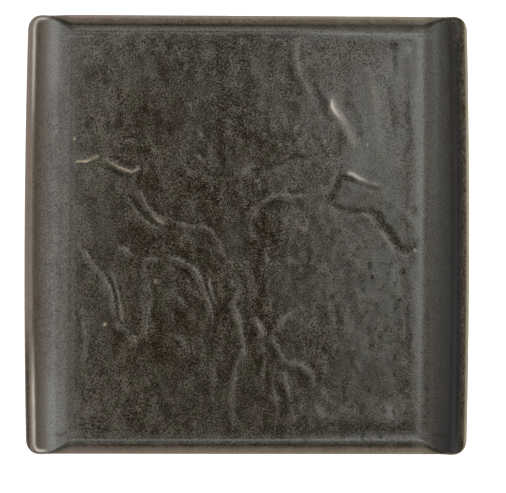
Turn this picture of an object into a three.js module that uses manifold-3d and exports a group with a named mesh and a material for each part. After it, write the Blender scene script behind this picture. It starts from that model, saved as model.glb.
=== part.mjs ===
// A square stoneware platter: one pressed clay body under four coats of fired glaze.
// Two opposite sides sweep up in wide coves, the two ends carry a low rounded lip between the coves,
// the floor has the relief of cleft stone, and the platter stands on a bare foot ring.
// Millimetres, +Z up. The origin lies on the table, under the middle of the platter.
// X runs across the coved sides and Y from end lip to end lip.
import * as THREE from "three";
import { mergeVertices } from "three/addons/utils/BufferGeometryUtils.js";
import Module from "manifold-3d";

const wasm = await Module();
wasm.setup();

// Driving dimensions of the glazed platter
const WIDTH = 248.2; // over the coved sides, at the corners
const LENGTH = 250; // over the end lips
const SIDE_BOW = 1.6; // each coved side bows out this much at its middle
const CORNER_RADIUS = 6.5; // plan radius of the outline's corners
const FOOT_HEIGHT = 2.5; // table to the underside
const FLOOR_THICKNESS = 5.5; // underside to the floor
const COVE_WIDTH = 25.8; // floor to outline, on a coved side
const RIM_RISE = 12; // floor to the crest of a coved side
const RIM_TOP = 4; // outline to the inner shoulder of that crest
const RIM_EDGE = 4.5; // thickness of a coved side at the outline
const RIM_SHOULDER = 2; // softness of that shoulder
const LIP_WIDTH = 5.1; // outline to the inner shoulder of an end lip
const LIP_RISE = 3.5; // floor to the top of an end lip
const LIP_FILLET = 4.6; // fillet radius between floor and end lip
const LIP_SHOULDER = 1.2; // softness of the lip's shoulder
const LIP_TAPER = 3.4; // an end lip narrows by this much as it runs into a cove
const TAPER_RUN = 13; // over this stretch of the cove
const END_EDGE = 6; // thickness of an end at the outline
const HEEL_WIDTH = 14; // stretch of the underside that curves up to an end
const EDGE_FLAT = 2.1; // flat between the upper and lower rounding of a coved side's edge
const CORNER_SHARPNESS = 5; // how crisply the end lip meets the cove: higher is crisper

// Driving dimensions of the glaze coats and the foot ring
const GLAZE = 0.5; // thickness of each coat
const SEAT_GAP = 0.3; // clearance between coat and clay, and between two coats
const SIDE_BAND = 6; // edge coat's reach in from the outline, on a coved side
const END_BAND = 3.75; // edge coat's reach in from the outline, on an end lip
const FOOT_INSET = 8; // edge of the flat underside to the foot ring
const FOOT_WIDTH = 6; // width of the foot ring
const FOOT_CORNER = 16; // outer corner radius of the foot ring
const FOOT_CHAMFER = 0.6; // chamfer round the ring's resting face
const FOOT_ROOT = 1.5; // how deep the ring is rooted in the clay

// Relief of the floor. A ridge rises, a groove falls, and each fades out at both ends.
// Its crest is a smooth curve through plan points, with the width of its left and right flank.
const FLOOR_LIFT = 0.35; // the cleft floor stands this much above the smooth coves and fillets
const FLOOR_CROWN = 0.9; // its middle stands this much higher again
const RELIEF_FADE = 3; // it comes down to the coves and fillets over this distance from its edge
const SWELL_RISE = 0.25; // height of the floor's long, slow swell
const SWELL_LENGTH = 74; // and its wavelength
const SWELL_LEAN_X = 0.4; // how far its waves across X lean along Y
const SWELL_LEAN_Y = 0.3; // and its waves along Y lean across X
const RELIEF = [
  { crest: [[44.5, 82], [47, 76], [50, 71], [55, 65.5], [59.5, 59], [62, 51]],
    rise: 1.1, left: 4, right: 6 },
  { crest: [[31.5, 109], [35, 97], [38, 88], [43, 78], [47, 68], [50.5, 56], [53, 47]],
    rise: -0.7, left: 4, right: 5 },
  { crest: [[56.5, 37.5], [61, 34.5], [66, 32], [76.5, 28.5]], rise: 0.9, left: 4, right: 4 },
  { crest: [[52.5, 40], [51, 35], [50, 29], [47, 20]], rise: -0.8, left: 4, right: 4 },
  { crest: [[47, 18], [56, 15.5], [62, 16], [70, 14], [76, 11], [82, 3], [89, -5], [97, -8]],
    rise: -1, left: 4, right: 4 },
  { crest: [[80, -3], [85, -12], [85.5, -30]], rise: 0.4, left: 4, right: 4 },
  { crest: [[-98, 42.5], [-91.5, 42.3], [-84.5, 44.8]], rise: 0.9, left: 4, right: 4 },
  { crest: [[-82, 44], [-78, 41.5], [-73.8, 39.1], [-67.4, 36.8], [-61.5, 37.6]],
    rise: 0.9, left: 4, right: 4 },
  { crest: [[-64, 36], [-65, 30], [-62.5, 24], [-58, 16.8], [-52.5, 10.6], [-46, 6.5]],
    rise: 0.75, left: 4, right: 4 },
  { crest: [[-47, 8], [-39, 6], [-32, 4], [-22, 4], [-17.5, -2], [-13.5, -10], [-9, -18]],
    rise: 0.45, left: 4, right: 4 },
  { crest: [[49.5, 37], [46.5, 27], [40, 24.5], [31, 25], [22, 22.5], [12.5, 20.5], [5, 16], [1, 6], [1, -2]],
    rise: 0.6, left: 4, right: 5 },
  { crest: [[-59, -18], [-56.3, -28], [-55.4, -35], [-56.3, -45], [-59.5, -57]],
    rise: 0.6, left: 4, right: 4 },
  { crest: [[-59.5, -17.5], [-48, -13.5], [-39.5, -13.5], [-32.5, -16.8], [-27.8, -22.5], [-21, -39],
    [-14, -56]], rise: 0.75, left: 4, right: 4 },
  { crest: [[-98, -4], [-86.8, -17.9], [-76.5, -31.7], [-74.8, -41.8], [-73.2, -50]],
    rise: 0.6, left: 4, right: 4 },
  { crest: [[-4, -30], [-7.3, -38], [-5.5, -46], [-2, -56], [-1, -62], [-7, -77], [-9, -88], [-8.5, -108]],
    rise: 0.8, left: 4, right: 4 },
  { crest: [[12, -56], [17, -64], [22, -71], [31, -74], [36.5, -79.6], [38.8, -90]],
    rise: 0.6, left: 4, right: 4 },
  { crest: [[-77, -49], [-71, -54.7], [-67.4, -59.3], [-62.5, -62.3]], rise: 0.5, left: 4, right: 4 },
];

// How finely the surface is divided
const ROUND_STEPS = 2; // across the rounding of the outline
const COVE_STEPS = 5; // up a cove
const FILLET_STEPS = 3; // up a lip's fillet
const FLOOR_STEPS_X = 6; // along the floor's edge at an end lip
const FLOOR_STEPS_Y = 8; // along the floor's edge at a cove
const CREST_STEP = 5; // along a ridge
const CREST_CLEARANCE = 2.6; // least distance between two points of the relief
const FIELD_STEP = 12; // between points away from the ridges
const FIELD_DRIFT = 0.15; // such a point strays by this share of the step
const COLUMN_TURN = 12.9; // unrelated turns per column and row, so that the straying has no pattern
const ROW_TURN = 78.2;
const CURVE_STEPS = 40; // along the curve that a distance to a ridge is taken from
const FILLET_REACH = 0.9; // share of a lip's fillet that its lines are spread over
const STEEPEST = 0.98; // share of its radius after which an arc goes on as a straight, steep wall
const TOLERANCE = 1e-6; // within which a grid line counts as the floor's edge
const WELD = 1e-4; // within which two points of a solid are one

// Sizes that follow from the driving dimensions
const FLOOR_Z = FOOT_HEIGHT + FLOOR_THICKNESS;
const FLOOR_HALF_X = WIDTH / 2 - COVE_WIDTH;
const FLOOR_HALF_Y = LENGTH / 2 - LIP_WIDTH - LIP_FILLET;
const EDGE_ROUND = (RIM_EDGE - EDGE_FLAT) / 2;
const COVE_RADIUS = arcRadius(COVE_WIDTH - RIM_TOP, RIM_RISE);
const UNDER_RADIUS = arcRadius(COVE_WIDTH, FLOOR_THICKNESS + RIM_RISE - RIM_EDGE);
const HEEL_RADIUS = arcRadius(HEEL_WIDTH, FLOOR_THICKNESS + LIP_RISE - END_EDGE);
const FOOT_HALF_X = FLOOR_HALF_X - FOOT_INSET;
const FOOT_HALF_Y = LENGTH / 2 - HEEL_WIDTH - FOOT_INSET;

// Radius of the arc that leaves a flat without a corner and has climbed by rise after run.
function arcRadius(run, rise) {
  return (run * run + rise * rise) / (2 * rise);
}

// Height of that arc after a run, and of the wall it goes on as.
function arcRise(run, radius) {
  const steepest = STEEPEST * radius;
  const reach = THREE.MathUtils.clamp(run, 0, steepest);
  const rise = radius - Math.sqrt(radius * radius - reach * reach);
  const wallSlope = steepest / Math.sqrt(radius * radius - steepest * steepest);
  return rise + Math.max(0, run - steepest) * wallSlope;
}

// The lower of two heights, with a soft change-over.
function softMin(a, b, softness) {
  const overlap = Math.max(softness - Math.abs(a - b), 0) / softness;
  return Math.min(a, b) - (overlap * overlap * softness) / 4;
}

// The higher of two rises, with a small fillet where they meet.
function softUnion(a, b) {
  return (a ** CORNER_SHARPNESS + b ** CORNER_SHARPNESS) ** (1 / CORNER_SHARPNESS);
}

// Plan point of a square grid, with the grid's corners drawn in to the outline's radius.
function roundCorner(u, v) {
  const a = (Math.abs(u) - WIDTH / 2) / CORNER_RADIUS + 1;
  const b = (Math.abs(v) - LENGTH / 2) / CORNER_RADIUS + 1;
  if (a <= 0 || b <= 0) return [u, v];
  const inX = CORNER_RADIUS * (a * Math.sqrt(1 - (b * b) / 2) - 1);
  const inY = CORNER_RADIUS * (b * Math.sqrt(1 - (a * a) / 2) - 1);
  return [Math.sign(u) * (WIDTH / 2 + inX), Math.sign(v) * (LENGTH / 2 + inY)];
}

// Distance of a plan point from the rounded outline.
function edgeInset(x, y) {
  const insetX = WIDTH / 2 - Math.abs(x);
  const insetY = LENGTH / 2 - Math.abs(y);
  if (insetX >= CORNER_RADIUS || insetY >= CORNER_RADIUS) return Math.min(insetX, insetY);
  return CORNER_RADIUS - Math.hypot(CORNER_RADIUS - insetX, CORNER_RADIUS - insetY);
}

// How far the rounded edge has turned away from the flat at that distance.
function edgeDrop(inset) {
  const short = Math.max(0, EDGE_ROUND - inset);
  return EDGE_ROUND - Math.sqrt(Math.max(0, EDGE_ROUND * EDGE_ROUND - short * short));
}

// A coved side's bow, which grows from the floor's edge to the outline.
function bowed(x, y) {
  const share = THREE.MathUtils.clamp((Math.abs(x) - FLOOR_HALF_X) / COVE_WIDTH, 0, 1);
  const along = y / (LENGTH / 2);
  return x + Math.sign(x) * share * SIDE_BOW * (1 - along * along);
}

// Each ridge as a curve, with the points that distances to it are taken from.
const ridges = RELIEF.map((ridge) => {
  const curve = new THREE.CatmullRomCurve3(ridge.crest.map(([x, y]) => new THREE.Vector3(x, y, 0)));
  return { ...ridge, curve, samples: curve.getSpacedPoints(CURVE_STEPS) };
});

// Height of one ridge or groove over a plan point: a sharp crest with hollow flanks.
function ridgeHeight(ridge, x, y) {
  let nearest = Infinity;
  let height = 0;
  for (let i = 0; i < CURVE_STEPS; i++) {
    const from = ridge.samples[i];
    const to = ridge.samples[i + 1];
    const run = { x: to.x - from.x, y: to.y - from.y };
    const length = Math.hypot(run.x, run.y);
    const along = ((x - from.x) * run.x + (y - from.y) * run.y) / (length * length);
    const share = THREE.MathUtils.clamp(along, 0, 1);
    const distance = Math.hypot(x - from.x - share * run.x, y - from.y - share * run.y);
    if (distance >= nearest) continue;
    nearest = distance;
    const onLeft = run.x * (y - from.y) - run.y * (x - from.x) > 0;
    const flank = Math.max(0, 1 - distance / (onLeft ? ridge.left : ridge.right));
    const position = (i + share) / CURVE_STEPS;
    const fade = Math.sqrt(Math.sin(Math.PI * THREE.MathUtils.clamp(position, 0, 1)));
    height = ridge.rise * flank * flank * fade;
  }
  return height;
}

// Height of the whole relief over a plan point of the floor.
function reliefHeight(x, y) {
  const inside = Math.min(FLOOR_HALF_X - Math.abs(x), FLOOR_HALF_Y - Math.abs(y));
  if (inside <= 0) return 0;
  const heights = ridges.map((ridge) => ridgeHeight(ridge, x, y));
  const phase = (2 * Math.PI) / SWELL_LENGTH;
  const waveX = Math.sin(phase * (x + SWELL_LEAN_X * y));
  const waveY = Math.cos(phase * (y - SWELL_LEAN_Y * x));
  const fade = THREE.MathUtils.smoothstep(inside, 0, RELIEF_FADE);
  const creases = Math.max(0, ...heights) + Math.min(0, ...heights);
  return fade * (FLOOR_LIFT + creases + SWELL_RISE * waveX * waveY);
}

// Rise of the floor's gentle crown, flat over the middle and steeper towards its edges.
function crownHeight(x, y) {
  const across = Math.min(1, Math.abs(x) / (FLOOR_HALF_X + RELIEF_FADE));
  const along = Math.min(1, Math.abs(y) / (FLOOR_HALF_Y + RELIEF_FADE));
  return FLOOR_CROWN * (1 - across ** 4) * (1 - along ** 4);
}

// Height of the glazed upper surface.
function upperHeight(x, y) {
  const sideRun = Math.abs(x) - FLOOR_HALF_X;
  const taper = LIP_TAPER * THREE.MathUtils.smoothstep(sideRun, 0, TAPER_RUN);
  const endRun = Math.abs(y) - FLOOR_HALF_Y - taper;
  const side = softMin(arcRise(sideRun, COVE_RADIUS), RIM_RISE, RIM_SHOULDER);
  const end = softMin(arcRise(endRun, LIP_FILLET), LIP_RISE, LIP_SHOULDER);
  const floor = crownHeight(x, y) + reliefHeight(x, y);
  return FLOOR_Z + softUnion(side, end) + floor - edgeDrop(edgeInset(x, y));
}

// Height of the glazed underside, without the foot ring.
function lowerHeight(x, y) {
  const side = arcRise(Math.abs(x) - FLOOR_HALF_X, UNDER_RADIUS);
  const end = arcRise(Math.abs(y) - LENGTH / 2 + HEEL_WIDTH, HEEL_RADIUS);
  return FOOT_HEIGHT + softUnion(side, end) + edgeDrop(edgeInset(x, y));
}

// Distances in from the outline at which the grid has a line: first the rounding, then the two lines
// between which the edge coat meets its neighbour, then the rise from the floor.
function edgeLines(band, rises) {
  const round = Array.from({ length: ROUND_STEPS + 1 }, (_, i) =>
    EDGE_ROUND * (1 - Math.cos((Math.PI / 2) * (i / ROUND_STEPS))));
  const seam = [band - SEAT_GAP / 2, band + SEAT_GAP / 2];
  return [...round, ...seam, ...rises].sort((a, b) => a - b);
}

// Runs from the floor, evenly spread by angle along the arc that climbs from it.
function arcRuns(reach, radius, steps) {
  const turn = Math.asin(Math.min(1, reach / radius));
  return Array.from({ length: steps }, (_, i) => radius * Math.sin((turn * i) / steps));
}

// The grid's lines across one direction, from edge to edge.
function gridLines(half, insets, floorHalf, floorSteps) {
  const outer = insets.map((inset) => half - inset);
  const floor = Array.from({ length: floorSteps - 1 }, (_, i) =>
    floorHalf * (2 * (i + 1) / floorSteps - 1));
  return [...outer.map((line) => -line), ...floor, ...outer.slice().reverse()];
}

const coveRuns = arcRuns(COVE_WIDTH - SIDE_BAND - SEAT_GAP / 2, COVE_RADIUS, COVE_STEPS);
const filletRuns = arcRuns(FILLET_REACH * LIP_FILLET, LIP_FILLET, FILLET_STEPS);
const insetsX = edgeLines(SIDE_BAND, [RIM_TOP, ...coveRuns.map((run) => COVE_WIDTH - run)]);
const insetsY = edgeLines(END_BAND, [LIP_WIDTH, ...filletRuns.map((run) => LIP_WIDTH + LIP_FILLET - run)]);
const linesX = gridLines(WIDTH / 2, insetsX, FLOOR_HALF_X, FLOOR_STEPS_X);
const linesY = gridLines(LENGTH / 2, insetsY, FLOOR_HALF_Y, FLOOR_STEPS_Y);

// Plan points of the floor: its edge, the top of the step along it, ridge crests, their flanks and
// an open field.
function floorPoints(edge) {
  const kept = edge.slice();
  const keep = (x, y, spacing) => {
    const inside = Math.min(FLOOR_HALF_X - Math.abs(x), FLOOR_HALF_Y - Math.abs(y));
    if (inside < spacing / 2) return;
    if (kept.every(([px, py]) => Math.hypot(px - x, py - y) >= spacing)) kept.push([x, y]);
  };
  const stepX = FLOOR_HALF_X - RELIEF_FADE;
  const stepY = FLOOR_HALF_Y - RELIEF_FADE;
  edge.forEach(([x, y]) =>
    keep(THREE.MathUtils.clamp(x, -stepX, stepX), THREE.MathUtils.clamp(y, -stepY, stepY), RELIEF_FADE));
  const crests = ridges.map(({ curve }) =>
    curve.getSpacedPoints(Math.ceil(curve.getLength() / CREST_STEP)));
  crests.flat().forEach((p) => keep(p.x, p.y, CREST_CLEARANCE));
  ridges.forEach((ridge, n) => {
    crests[n].forEach((p, i) => {
      const along = ridge.curve.getTangentAt(i / (crests[n].length - 1));
      keep(p.x - along.y * ridge.left, p.y + along.x * ridge.left, CREST_CLEARANCE);
      keep(p.x + along.y * ridge.right, p.y - along.x * ridge.right, CREST_CLEARANCE);
    });
  });
  const columns = Math.ceil(FLOOR_HALF_X / FIELD_STEP);
  const rows = Math.ceil(FLOOR_HALF_Y / FIELD_STEP);
  for (let row = -rows; row <= rows; row++) {
    for (let column = -columns; column <= columns; column++) {
      const drift = FIELD_DRIFT * FIELD_STEP * Math.sin(COLUMN_TURN * column + ROW_TURN * row);
      const stagger = row % 2 ? FIELD_STEP / 2 : 0;
      keep(column * FIELD_STEP + stagger + drift, row * FIELD_STEP + drift, FIELD_STEP / 2);
    }
  }
  return kept;
}

// A triangle of plan points with the circle through its corners.
function circled(points, corners) {
  const [[ax, ay], [bx, by], [cx, cy]] = corners.map((corner) => points[corner]);
  const area = 2 * ((bx - ax) * (cy - ay) - (by - ay) * (cx - ax));
  const b = (bx - ax) ** 2 + (by - ay) ** 2;
  const c = (cx - ax) ** 2 + (cy - ay) ** 2;
  const offX = ((cy - ay) * b - (by - ay) * c) / area;
  const offY = ((bx - ax) * c - (cx - ax) * b) / area;
  return { corners, x: ax + offX, y: ay + offY, reach: offX * offX + offY * offY };
}

// Delaunay triangles of plan points, from one that holds them all: each new point clears the triangles
// whose circle holds it and is joined to the edge of the hole.
function delaunay(points) {
  const far = 50 * Math.max(WIDTH, LENGTH);
  const all = [...points, [-far, -far], [far, -far], [0, far]];
  const count = points.length;
  let triangles = [circled(all, [count, count + 1, count + 2])];
  points.forEach(([x, y], added) => {
    const hole = new Map();
    triangles = triangles.filter((triangle) => {
      const outside = (x - triangle.x) ** 2 + (y - triangle.y) ** 2 >= triangle.reach * (1 - 1e-9);
      if (outside) return true;
      triangle.corners.forEach((from, i) => {
        const to = triangle.corners[(i + 1) % 3];
        if (!hole.delete(`${to},${from}`)) hole.set(`${from},${to}`, [from, to]);
      });
      return false;
    });
    hole.forEach(([from, to]) => triangles.push(circled(all, [from, to, added])));
  });
  return triangles.map((triangle) => triangle.corners).filter((corners) => corners.every((c) => c < count));
}

// The finished surface of the platter without its foot ring: a closed mesh whose triangles each belong
// to one coat, "face", "edge" or "under", or to the open "seam" between two coats.
function finishedSurface() {
  const points = [];
  const triangles = [];
  const add = (x, y, height) => points.push(new THREE.Vector3(bowed(x, y), y, height(x, y))) - 1;
  const plan = linesX.map((u) => linesY.map((v) => roundCorner(u, v)));
  const upper = plan.map((column) => column.map(([x, y]) => add(x, y, upperHeight)));
  const lower = plan.map((column) => column.map(([x, y]) => add(x, y, lowerHeight)));

  const onFloor = (u, v) =>
    Math.abs(u) <= FLOOR_HALF_X + TOLERANCE && Math.abs(v) <= FLOOR_HALF_Y + TOLERANCE;
  const coatOf = (u, v, inner) => {
    const insetX = WIDTH / 2 - Math.abs(u);
    const insetY = LENGTH / 2 - Math.abs(v);
    if (insetX < SIDE_BAND - SEAT_GAP / 2 || insetY < END_BAND - SEAT_GAP / 2) return "edge";
    return insetX < SIDE_BAND + SEAT_GAP / 2 || insetY < END_BAND + SEAT_GAP / 2 ? "seam" : inner;
  };
  const cell = (sheet, i, j, coat, facingDown) => {
    const [a, b, c, d] = [sheet[i][j], sheet[i + 1][j], sheet[i + 1][j + 1], sheet[i][j + 1]];
    const towardsMiddle = (linesX[i] + linesX[i + 1]) * (linesY[j] + linesY[j + 1]) > 0;
    const pair = towardsMiddle ? [[a, b, c], [a, c, d]] : [[a, b, d], [b, c, d]];
    pair.forEach((corners) => triangles.push({ coat, corners: facingDown ? corners.reverse() : corners }));
  };
  for (let i = 0; i < linesX.length - 1; i++) {
    for (let j = 0; j < linesY.length - 1; j++) {
      const u = (linesX[i] + linesX[i + 1]) / 2;
      const v = (linesY[j] + linesY[j + 1]) / 2;
      if (!onFloor(u, v)) cell(upper, i, j, coatOf(u, v, "face"), false);
      cell(lower, i, j, coatOf(u, v, "under"), true);
    }
  }

  const edge = [];
  const edgeIndex = [];
  linesX.forEach((u, i) => linesY.forEach((v, j) => {
    const besideCove = Math.abs(Math.abs(u) - FLOOR_HALF_X) < TOLERANCE;
    const besideLip = Math.abs(Math.abs(v) - FLOOR_HALF_Y) < TOLERANCE;
    if (!onFloor(u, v) || !(besideCove || besideLip)) return;
    edge.push([u, v]);
    edgeIndex.push(upper[i][j]);
  }));
  const floor = floorPoints(edge);
  const floorIndex = floor.map(([x, y], i) => (i < edge.length ? edgeIndex[i] : add(x, y, upperHeight)));
  delaunay(floor).forEach((corners) => {
    const [a, b, c] = corners.map((corner) => floor[corner]);
    const turnsLeft = (b[0] - a[0]) * (c[1] - a[1]) > (b[1] - a[1]) * (c[0] - a[0]);
    const ordered = turnsLeft ? corners : corners.slice().reverse();
    triangles.push({ coat: "face", corners: ordered.map((corner) => floorIndex[corner]) });
  });

  const lastX = linesX.length - 1;
  const lastY = linesY.length - 1;
  const rim = [
    ...linesX.slice(0, lastX).map((_, i) => [i, 0]),
    ...linesY.slice(0, lastY).map((_, j) => [lastX, j]),
    ...linesX.slice(0, lastX).map((_, i) => [lastX - i, lastY]),
    ...linesY.slice(0, lastY).map((_, j) => [0, lastY - j]),
  ];
  rim.forEach(([i, j], n) => {
    const [nextI, nextJ] = rim[(n + 1) % rim.length];
    const [a, b] = [lower[i][j], lower[nextI][nextJ]];
    const [c, d] = [upper[nextI][nextJ], upper[i][j]];
    triangles.push({ coat: "edge", corners: [a, b, c] }, { coat: "edge", corners: [a, c, d] });
  });
  return { points, triangles };
}

// A geometry from points and triangles.
function meshed(points, corners) {
  const geometry = new THREE.BufferGeometry().setFromPoints(points);
  geometry.setIndex(corners.flat());
  return geometry;
}

const surface = finishedSurface();
const outward = meshed(surface.points, surface.triangles.map((t) => t.corners));
outward.computeVertexNormals();

// The surface's points, set into the clay by a depth.
function setIn(depth) {
  const normals = outward.getAttribute("normal");
  return surface.points.map((point, i) =>
    point.clone().addScaledVector(new THREE.Vector3().fromBufferAttribute(normals, i), -depth));
}

// The layer of one coat: the finished surface, the same surface a coat's thickness in, and walls round
// the coat's free edges.
function coatLayer(coat) {
  const patch = surface.triangles.filter((t) => t.coat === coat).map((t) => t.corners);
  const inner = surface.points.length;
  const open = new Map();
  patch.forEach((corners) => corners.forEach((from, i) => {
    const to = corners[(i + 1) % 3];
    if (!open.delete(`${to},${from}`)) open.set(`${from},${to}`, [from, to]);
  }));
  const walls = [...open.values()].flatMap(([from, to]) => [
    [to, from, from + inner],
    [to, from + inner, to + inner],
  ]);
  const backs = patch.map(([a, b, c]) => [c + inner, b + inner, a + inner]);
  return meshed([...surface.points, ...setIn(GLAZE)], [...patch, ...backs, ...walls]);
}

// A closed geometry as a solid that can be joined and cut, and back again.
function toSolid(geometry) {
  const bare = new THREE.BufferGeometry().setAttribute("position", geometry.getAttribute("position"));
  if (geometry.index) bare.setIndex(geometry.index);
  const merged = mergeVertices(bare, WELD);
  return new wasm.Manifold(new wasm.Mesh({
    numProp: 3,
    vertProperties: new Float32Array(merged.getAttribute("position").array),
    triVerts: new Uint32Array(merged.index.array),
  }));
}

function toGeometry(solid) {
  const mesh = solid.getMesh();
  const geometry = new THREE.BufferGeometry();
  geometry.setAttribute("position", new THREE.BufferAttribute(mesh.vertProperties, 3));
  geometry.setIndex(new THREE.BufferAttribute(mesh.triVerts, 1));
  geometry.computeVertexNormals();
  return geometry;
}

// The foot's plan outline, grown or shrunk by an offset.
function footOutline(offset) {
  const x = FOOT_HALF_X + offset;
  const y = FOOT_HALF_Y + offset;
  const radius = Math.max(1, FOOT_CORNER + offset);
  const outline = new THREE.Shape();
  outline.absarc(x - radius, y - radius, radius, 0, Math.PI / 2);
  outline.absarc(radius - x, y - radius, radius, Math.PI / 2, Math.PI);
  outline.absarc(radius - x, radius - y, radius, Math.PI, 1.5 * Math.PI);
  outline.absarc(x - radius, radius - y, radius, 1.5 * Math.PI, 2 * Math.PI);
  outline.closePath();
  return outline;
}

const CLAY_UNDERSIDE = FOOT_HEIGHT + GLAZE + SEAT_GAP;
const FOOT_CURVE_STEPS = 6;

// The foot ring, from the table to its root in the clay.
function footRing() {
  const outline = footOutline(-FOOT_CHAMFER);
  outline.holes.push(footOutline(FOOT_CHAMFER - FOOT_WIDTH));
  const height = CLAY_UNDERSIDE + FOOT_ROOT;
  const ring = new THREE.ExtrudeGeometry(outline, {
    depth: height - 2 * FOOT_CHAMFER,
    bevelEnabled: true,
    bevelThickness: FOOT_CHAMFER,
    bevelSize: FOOT_CHAMFER,
    bevelSegments: 1,
    curveSegments: FOOT_CURVE_STEPS,
  });
  return ring.translate(0, 0, FOOT_CHAMFER);
}

// A cutter with the foot's outline, tall enough to pass through the coat under the floor.
function footCutter(offset) {
  const options = { depth: CLAY_UNDERSIDE, bevelEnabled: false, curveSegments: FOOT_CURVE_STEPS };
  return toSolid(new THREE.ExtrudeGeometry(footOutline(offset), options));
}

const glazedStoneware = { metalness: 0, roughness: 0.42 };
const finishes = {
  clay: new THREE.MeshStandardMaterial({ color: 0xa3876a, metalness: 0, roughness: 0.85 }),
  face: new THREE.MeshStandardMaterial({ color: 0x46433f, ...glazedStoneware }),
  edge: new THREE.MeshStandardMaterial({ color: 0x6f5f4c, ...glazedStoneware }),
  under: new THREE.MeshStandardMaterial({ color: 0x3f3a35, ...glazedStoneware }),
};

function piece(name, geometry, finish) {
  const mesh = new THREE.Mesh(geometry, finish);
  mesh.name = name;
  return mesh;
}

const clay = toSolid(meshed(setIn(GLAZE + SEAT_GAP), surface.triangles.map((t) => t.corners)));
const underCoat = toSolid(coatLayer("under"));
const bodySolid = clay.add(toSolid(footRing()));
const outsideSolid = underCoat.subtract(footCutter(SEAT_GAP));
const recessSolid = underCoat.intersect(footCutter(-FOOT_WIDTH - SEAT_GAP));

const platter = new THREE.Group();
platter.add(
  piece("stoneware_body", toGeometry(bodySolid), finishes.clay),
  piece("face_glaze", coatLayer("face"), finishes.face),
  piece("edge_glaze", coatLayer("edge"), finishes.edge),
  piece("outside_glaze", toGeometry(outsideSolid), finishes.under),
  piece("recess_glaze", toGeometry(recessSolid), finishes.under),
);

export default platter;
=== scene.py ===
"""A square stoneware platter with a cleft-stone floor under dark reactive glaze.

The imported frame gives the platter's overall size and its bodies. This file adds the finished surface: the
relief of the floor, the coats of glaze and the bare clay foot, with a plain studio around them.
Lengths are metres, as in the frame, and plan tables are millimetres.
"""

import math
from typing import NamedTuple

import bpy
import numpy as np
from mathutils import Matrix, Vector, noise


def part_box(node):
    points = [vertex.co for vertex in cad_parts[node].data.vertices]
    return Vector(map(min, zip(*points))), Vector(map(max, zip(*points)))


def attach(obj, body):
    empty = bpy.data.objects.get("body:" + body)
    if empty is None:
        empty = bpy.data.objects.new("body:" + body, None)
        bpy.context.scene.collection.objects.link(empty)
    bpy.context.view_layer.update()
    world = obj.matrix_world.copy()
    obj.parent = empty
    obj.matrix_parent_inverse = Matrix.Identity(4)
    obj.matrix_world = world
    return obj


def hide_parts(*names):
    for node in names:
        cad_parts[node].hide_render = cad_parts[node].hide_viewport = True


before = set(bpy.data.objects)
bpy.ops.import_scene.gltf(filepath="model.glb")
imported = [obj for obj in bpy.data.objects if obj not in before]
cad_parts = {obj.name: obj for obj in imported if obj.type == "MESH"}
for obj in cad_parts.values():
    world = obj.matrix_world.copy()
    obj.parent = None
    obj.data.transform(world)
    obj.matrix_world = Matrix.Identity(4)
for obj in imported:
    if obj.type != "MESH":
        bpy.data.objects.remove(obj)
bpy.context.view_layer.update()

bl_info = {
    "name": "Stoneware platter",
    "version": (1, 0, 0),
    "blender": (4, 5, 0),
    "location": "View3D > Sidebar > Platter",
    "description": "Builds the glazed surfaces of a square stoneware platter around its packed frame",
    "category": "Add Mesh",
}

MM = 0.001
BODY = "root"

# The frame's own measures
EDGE_LOW, EDGE_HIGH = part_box("edge_glaze")
RECESS_LOW, RECESS_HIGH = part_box("recess_glaze")


class Crease(NamedTuple):
    """A ridge or groove of the floor: a smooth curve through plan points, in millimetres.

    left and right are its flanks' widths as one walks along it. bare is how pale its crest is: clay where
    the glaze has run off it, and on the fold and the flake at the right a painted highlight. line is half
    the width of that pale line where it starts. dark is how much painted shade lies in it, drawn as dull
    dark glaze.
    """

    points: tuple
    rise: float
    left: float
    right: float
    bare: float = 0.0
    line: float = 0.3
    dark: float = 0.0


def ridge(*points, rise, flank=3.0):
    """A plain ridge with two like flanks."""
    return Crease(points, rise, flank, flank)


def groove(*points, rise, flank=2.5, dark=0.25):
    """A groove with two like flanks, darkened with painted shade."""
    return Crease(points, -rise, flank, flank, dark=dark)


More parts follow.
